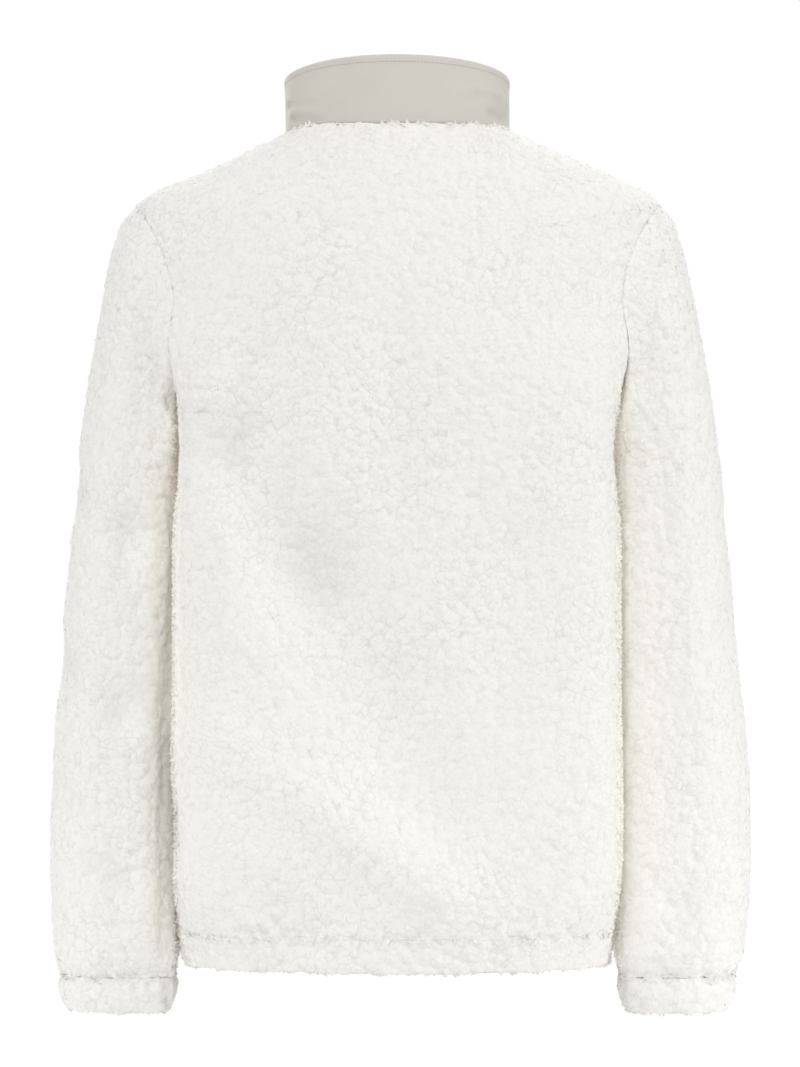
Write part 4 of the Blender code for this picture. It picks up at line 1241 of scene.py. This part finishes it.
def zip_material(name, colour, metallic, roughness):
    """A lacquered or moulded zip part."""
    finish, tree, shader = new_material(name, colour, roughness, metallic=metallic)
    place = tree.nodes.new("ShaderNodeTexCoord").outputs["Object"]
    lighter = tuple(min(1.0, 1.15 * channel) for channel in colour)
    surface = place_group(tree, HANDLED_GROUP, Place=place, Plain=(*colour, 1), Rubbed=(*lighter, 1),
                          Smoothest=roughness - 0.12)
    tree.links.new(surface["Roughness"], shader.inputs["Roughness"])
    colour_from(tree, shader, surface["Colour"])
    add_bump(tree, shader, surface["Height"], 0.15, 0.0001)
    return finish


THREAD = thread_material()
ZIP_METAL = zip_material("zip_satin_metal", (0.40, 0.385, 0.345), 0.35, 0.38)
TEETH = zip_material("zip_moulded_teeth", (0.56, 0.54, 0.485), 0.0, 0.42)
print("hard finishes:", THREAD.name, ZIP_METAL.name, TEETH.name)

# %% Collar topstitching
STITCH = {"Step": 0.0031, "Across": 0.00062, "Deep": 0.00062, "Along": 0.0025}
row = np.interp(1 - STITCH_DROP / COLLAR_HEIGHT, rises, np.arange(len(rises)))
lines = [between(outer, row)[3:-3]]
for column in (2.4, len(angles) - 3.4):   # a line of stitches beside each end of the collar
    lines.append(between(outer.transpose(1, 0, 2), column)[1:int(row) + 1])
stitches = row_along("collar_topstitch", lines, SEW, Finish=THREAD, **STITCH)
print("topstitch faces:", len(stitches.data.polygons))

# %% [markdown]
# ## The zip
# The zip has moulded teeth and is closed to just below the collar's edge. Its two tapes lie a little below
# the pile, and each carries a row of teeth half a step apart from the other, so they mesh. The slider,
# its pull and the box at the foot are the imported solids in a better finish.

# %% Zip line down the centre front
TOOTH = {"Step": 0.0026, "Across": 0.0034, "Deep": 0.0027, "Along": 0.00125}
TAPE_DEPTH = 0.0024         # of the tapes below the smooth face that the pile rises from
TAPE_WALL = 0.0012
TAPE_COLUMNS = 5
TAPE_CROWN = 0.0004         # the tapes bulge this much towards the front
PARTING_SPREAD = 0.0021     # the tapes part by this much above the slider
COLLAR_POINTS, FRONT_POINTS = 40, 260
tape_low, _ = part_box("zip_tape_left")
slider_low, slider_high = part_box("zip_slider")
parting = (slider_low[2] + slider_high[2]) / 2 - 0.001


def zip_line():
    """Face of the tapes down the centre front, from the collar's top edge to the box, and the way in."""
    straight = np.full(COLLAR_POINTS, -math.pi / 2)
    upper = collar_base(straight, np.linspace(1.0, 0.03, COLLAR_POINTS)) + (0, -COLLAR_INSET, 0)
    lower_keys = np.linspace(KEY["neck"] - 0.001, 0.0, FRONT_POINTS)
    lower = torso_points(np.full(FRONT_POINTS, -math.pi / 2), lower_keys)
    line = np.concatenate((upper, lower[lower[:, 2] < upper[-1, 2] - 0.001]))
    line = line[line[:, 2] > tape_low[2]]
    line[:, 0] = 0.0
    along = running_length(line)
    at = np.linspace(0.0, along[-1], INNER_STEP * round(along[-1] / FINE_SPACING / INNER_STEP) + 1)
    line = np.stack([np.interp(at, along, line[:, i]) for i in range(3)], axis=-1)
    run = unit(np.gradient(line, axis=0))
    inward = np.stack((np.zeros(len(run)), -run[:, 2], run[:, 1]), axis=-1)
    return line + TAPE_DEPTH * inward, inward


zip_face, zip_inward = zip_line()
meeting = SEAM_GAP / 2 + PARTING_SPREAD * smooth_step(parting - 0.002, parting + 0.002, zip_face[:, 2])
print("zip line points:", len(zip_face))

# %% Tapes and teeth
ZIP_ROWS = {}
tape_share = np.linspace(0, 1, TAPE_COLUMNS)[None, :]
crown = TAPE_CROWN * np.sin(np.linspace(0, math.pi, TAPE_COLUMNS))[None, :]
for side, label in ((1, "left"), (-1, "right")):
    tape = np.repeat(zip_face[:, None], TAPE_COLUMNS, axis=1)
    tape[..., 0] = side * (meeting[:, None] + (ZIP_HALF_GAP - SEAM_GAP - meeting)[:, None] * tape_share)
    tape[..., 1] -= crown
    depth = np.repeat(zip_inward[:, None], TAPE_COLUMNS, axis=1) * TAPE_WALL
    PIECES["zip_tape_" + label] = thinned_shell("zip_tape_" + label + "_weave", tape, depth,
                                                np.zeros(tape.shape[:2]), materials=(TAPE, TAPE))
    line = zip_face + zip_inward * (TAPE_WALL / 2)
    line[:, 0] = side * (meeting + 0.0003)
    line = line[2 if side > 0 else 3:-2]
    name = "zip_teeth_" + label
    ZIP_ROWS[name] = row_along(name, [line], SET_TEETH, Finish=TEETH, **TOOTH)
for node in ("zip_slider", "zip_pull", "zip_box"):
    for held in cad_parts[node].material_slots:
        held.material = ZIP_METAL
print("teeth faces:", {name: len(obj.data.polygons) for name, obj in ZIP_ROWS.items()})

# %% [markdown]
# ## Loose locks
# Smooth cobbles alone would end in a hard outline. Real pile ends in small bent locks of fibre, which
# blur the silhouette and close over the seams. Geometry Nodes scatter one lock, a small closed
# three-sided spike, over each shell, and leave out the gaps between the cobbles.

# %% Lock tree
LOCK_DENSITY = 150000.0     # per square metre
LOCK_LENGTH = 0.0030
LOCK_WIDTH = 0.0009
LOCK_FLATNESS = (0.55, 1.7, 1.0)
LOCK_ROOT = 0.0005          # how deep a lock is rooted
TURN_LOW, TURN_HIGH = (0.0, 1.15, 0.0), (0.0, 1.45, 6.283)   # leaning over, in any direction
FRINGE_STAND = -0.60        # locks of a fringe stand more upright
FRINGE_GROWTH = 0.35        # and are longer
GROWN_FROM = 0.2            # locks grow where the weight of pile or fringe is above this
THIN_GAIN, THIN_MOST = 15.0, 1.5    # where pile is thin they are up to 2.5 times as dense
BARE_EDGE = 0.11            # no locks this near to a cell's edge, in cell widths
DARKEST_TINT = 0.10
LOCK_SIZES = (0.65, 1.25)


def scatter_locks_tree():
    """Geometry nodes that scatter leaning locks over the pile, denser where it is thin."""
    tree, start, end = new_tree("scatter_locks", "GeometryNodeTree",
                                (("Geometry", "Geometry"), ("Density", "Float", LOCK_DENSITY),
                                 ("Length", "Float", LOCK_LENGTH), ("Width", "Float", LOCK_WIDTH),
                                 ("Seed", "Int"), ("Finish", "Material")), (("Geometry", "Geometry"),))

    def drawn(low, high, kind, first):
        """A number or vector drawn for each lock; the node's inputs for its kind begin at `first`."""
        node = add_node(tree, "FunctionNodeRandomValue",
                        {first: low, first + 1: high, "Seed": start["Seed"]}, data_type=kind)
        return node.outputs[first // 2]

    def compared(a, b, operation):
        return add_node(tree, "FunctionNodeCompare", {0: a, 1: b}, operation=operation).outputs[0]

    # where locks grow
    pile, fringe = attribute(tree, "pile"), attribute(tree, "fringe")
    grown = compared(math_node(tree, "MAXIMUM", pile, fringe), GROWN_FROM, "GREATER_THAN")
    thin = math_node(tree, "MULTIPLY", math_node(tree, "SUBTRACT", 1.0, pile), THIN_GAIN)
    more = math_node(tree, "ADD", math_node(tree, "MINIMUM", thin, THIN_MOST), 1.0)
    points = add_node(tree, "GeometryNodeDistributePointsOnFaces",
                      {"Mesh": start["Geometry"], "Selection": grown, "Seed": start["Seed"],
                       "Density": math_node(tree, "MULTIPLY", more, start["Density"])})
    place = bent_place(tree, attribute(tree, "rest", "FLOAT_VECTOR"))
    gap = compared(cell_edges(tree, place, CLUMP), BARE_EDGE, "LESS_THAN")
    kept = add_node(tree, "GeometryNodeDeleteGeometry",
                    {"Geometry": points.outputs["Points"], "Selection": gap})
    tint = drawn(0.0, DARKEST_TINT, "FLOAT", 2)
    tinted = add_node(tree, "GeometryNodeStoreNamedAttribute",
                      {"Geometry": kept.outputs[0], "Name": "tint", "Value": tint}, data_type="FLOAT")
    root = scaled(tree, points.outputs["Normal"], -LOCK_ROOT)
    sunk = add_node(tree, "GeometryNodeSetPosition", {"Geometry": tinted.outputs[0], "Offset": root})

    # one lock, and how each copy of it lies
    lock = add_node(tree, "GeometryNodeMeshCone", {"Vertices": 3, "Side Segments": 1, "Radius Top": 0.0,
                                                   "Radius Bottom": start["Width"],
                                                   "Depth": start["Length"]}, fill_type="NGON")
    flat = add_node(tree, "GeometryNodeTransform", {"Geometry": lock.outputs["Mesh"], "Scale": LOCK_FLATNESS})
    stand = add_node(tree, "ShaderNodeCombineXYZ", {"Y": math_node(tree, "MULTIPLY", fringe, FRINGE_STAND)})
    lean = drawn(TURN_LOW, TURN_HIGH, "FLOAT_VECTOR", 0)
    raised = add_node(tree, "ShaderNodeVectorMath", {0: lean, 1: stand.outputs[0]}, operation="ADD")
    tilt = add_node(tree, "FunctionNodeEulerToRotation", {0: raised.outputs[0]})
    aim = add_node(tree, "FunctionNodeRotateRotation",
                   {"Rotation": points.outputs["Rotation"], "Rotate By": tilt.outputs[0]},
                   rotation_space="LOCAL")
    growth = math_node(tree, "ADD", math_node(tree, "MULTIPLY", fringe, FRINGE_GROWTH), 1.0)
    size = math_node(tree, "MULTIPLY", drawn(*LOCK_SIZES, "FLOAT", 2), growth)
    laid = add_node(tree, "GeometryNodeInstanceOnPoints",
                    {"Points": sunk.outputs[0], "Instance": flat.outputs[0], "Rotation": aim.outputs[0],
                     "Scale": size})
    real = add_node(tree, "GeometryNodeRealizeInstances", {"Geometry": laid.outputs[0]})
    faceted = add_node(tree, "GeometryNodeSetShadeSmooth",
                       {"Geometry": real.outputs[0], "Shade Smooth": False})
    dressed = add_node(tree, "GeometryNodeSetMaterial",
                       {"Geometry": faceted.outputs[0], "Material": start["Finish"]})
    tree.links.new(dressed.outputs[0], end[0])
    return tree


SCATTER_LOCKS = scatter_locks_tree()
print("nodes in the tree that scatters locks:", len(SCATTER_LOCKS.nodes))

# %% Locks over every sherpa shell
LOCK_PIECES = {}
for seed, (node, obj) in enumerate(sorted(PIECES.items())):
    if node == "collar" or node.startswith("zip"):
        continue
    locks = placed("locks_" + node, obj.data.copy())
    LOCK_PIECES[node] = apply_nodes(locks, SCATTER_LOCKS, Seed=seed, Finish=LOCKS)
print("lock faces:", {node: len(obj.data.polygons) for node, obj in LOCK_PIECES.items()})

# %% [markdown]
# ## What each piece belongs to
# Cloth, locks, stitches and teeth all ride on the jacket's body. Only the pull, one of the packed
# solids, swings on a body of its own. Each cloth shell takes the place of its packed wall, which is
# hidden.

# %% Pieces ride on the jacket
for node, obj in PIECES.items():
    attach(obj, "jacket")
    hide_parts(node)
for obj in LOCK_PIECES.values():
    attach(obj, "jacket")
for obj in ZIP_ROWS.values():
    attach(obj, "jacket")
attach(stitches, "jacket")
print("pieces on the jacket:", len(PIECES) + len(LOCK_PIECES) + len(ZIP_ROWS) + 1)

# %% [markdown]
# ## What rides on each cloth piece
# For each cloth piece the loop below gathers the locks, stitches or teeth that ride on it. Nothing
# more is done with these lists here.

# %% Pieces riding on each cloth piece
for node, obj in PIECES.items():
    fringe = [LOCK_PIECES[node]] if node in LOCK_PIECES else []
    fringe += [stitches] if node == "collar" else []
    fringe += [ZIP_ROWS[node.replace("tape", "teeth")]] if node.startswith("zip") else []

# %% [markdown]
# ## Light and camera
# White pile only reads as pile when its light comes slightly from the side, and the folds only when it
# comes from above. Large soft panels do both without hard shadows. The panels behind the jacket light
# the view of its back, and the ones in front do the same for its zip.

# %% Light
WHITE = (1.0, 1.0, 1.0)
WARM_WHITE = (1.0, 0.995, 0.98)
COOL_WHITE = (0.90, 0.95, 1.0)
WORLD_LIGHT = 0.41
LAMP_SIZE = 1.4
MIDDLE = Vector((-0.0025, 0.0, -0.324))
LAMPS = (
    ("key", (0.2, 3.2, 2.4), 59, WARM_WHITE),
    ("near_side", (-3.0, 0.9, 0.3), 30, WHITE),
    ("far_side", (3.0, 0.9, 0.3), 18, WHITE),
    ("top", (0.4, 1.4, 3.0), 12, COOL_WHITE),
    ("front_key", (-0.2, -3.2, 2.4), 56, WARM_WHITE),
    ("front_near_side", (2.2, -3.4, 0.3), 30, WHITE),
    ("front_far_side", (-2.2, -3.4, 0.3), 12, WHITE),
    ("front_top", (-0.4, -1.4, 3.0), 12, COOL_WHITE),
)


def aimed(obj, place):
    """Put an object at a place, facing the jacket's middle."""
    obj.location = place
    obj.rotation_euler = (MIDDLE - Vector(place)).to_track_quat("-Z", "Y").to_euler()
    return obj


for name, place, power, colour in LAMPS:
    lamp = bpy.data.lights.new(name, "AREA")
    lamp.shape = "RECTANGLE"
    lamp.size, lamp.size_y = LAMP_SIZE, LAMP_SIZE
    lamp.energy, lamp.color = power, colour
    aimed(placed(name, lamp), place)

scene = bpy.context.scene
scene.view_settings.view_transform = "Standard"
scene.world = bpy.data.worlds.new("studio")
scene.world.use_nodes = True
sky = scene.world.node_tree
lighting = sky.nodes["Background"]
lighting.inputs["Color"].default_value = (*WHITE, 1)
lighting.inputs["Strength"].default_value = WORLD_LIGHT
paper_white = add_node(sky, "ShaderNodeBackground", {"Color": (*WHITE, 1), "Strength": 1.0})
seen = add_node(sky, "ShaderNodeLightPath")
either = add_node(sky, "ShaderNodeMixShader", {0: seen.outputs["Is Camera Ray"], 1: lighting.outputs[0],
                                               2: paper_white.outputs[0]})
sky.links.new(either.outputs[0], sky.nodes["World Output"].inputs["Surface"])
print("lamps:", [lamp[0] for lamp in LAMPS])

# %% Floor and camera
FLOOR_RADIUS = 1.2
FLOOR_Z = -0.80
VIEW_DISTANCE = 3.5
VIEW_HEIGHT = 0.875
SENSOR_HEIGHT = 36.0
paper, _, paper_shader = new_material("white_paper", (0.9, 0.9, 0.9), 0.9)
paper_shader.inputs["Emission Color"].default_value = (*WHITE, 1)
paper_shader.inputs["Emission Strength"].default_value = 0.16
floor_mesh = bpy.data.meshes.new("floor")
bm = bmesh.new()
bmesh.ops.create_circle(bm, cap_ends=True, segments=64, radius=FLOOR_RADIUS)
bmesh.ops.translate(bm, vec=(0, 0, FLOOR_Z), verts=bm.verts)
bm.to_mesh(floor_mesh)
bm.free()
floor_mesh.materials.append(paper)
placed("floor", floor_mesh)

camera_data = bpy.data.cameras.new("camera")
camera_data.sensor_fit = "VERTICAL"
camera_data.sensor_height = SENSOR_HEIGHT
camera_data.lens = SENSOR_HEIGHT * VIEW_DISTANCE / VIEW_HEIGHT
scene.camera = aimed(placed("camera", camera_data), MIDDLE + Vector((0, VIEW_DISTANCE, 0)))
print("camera:", tuple(round(value, 3) for value in scene.camera.location))
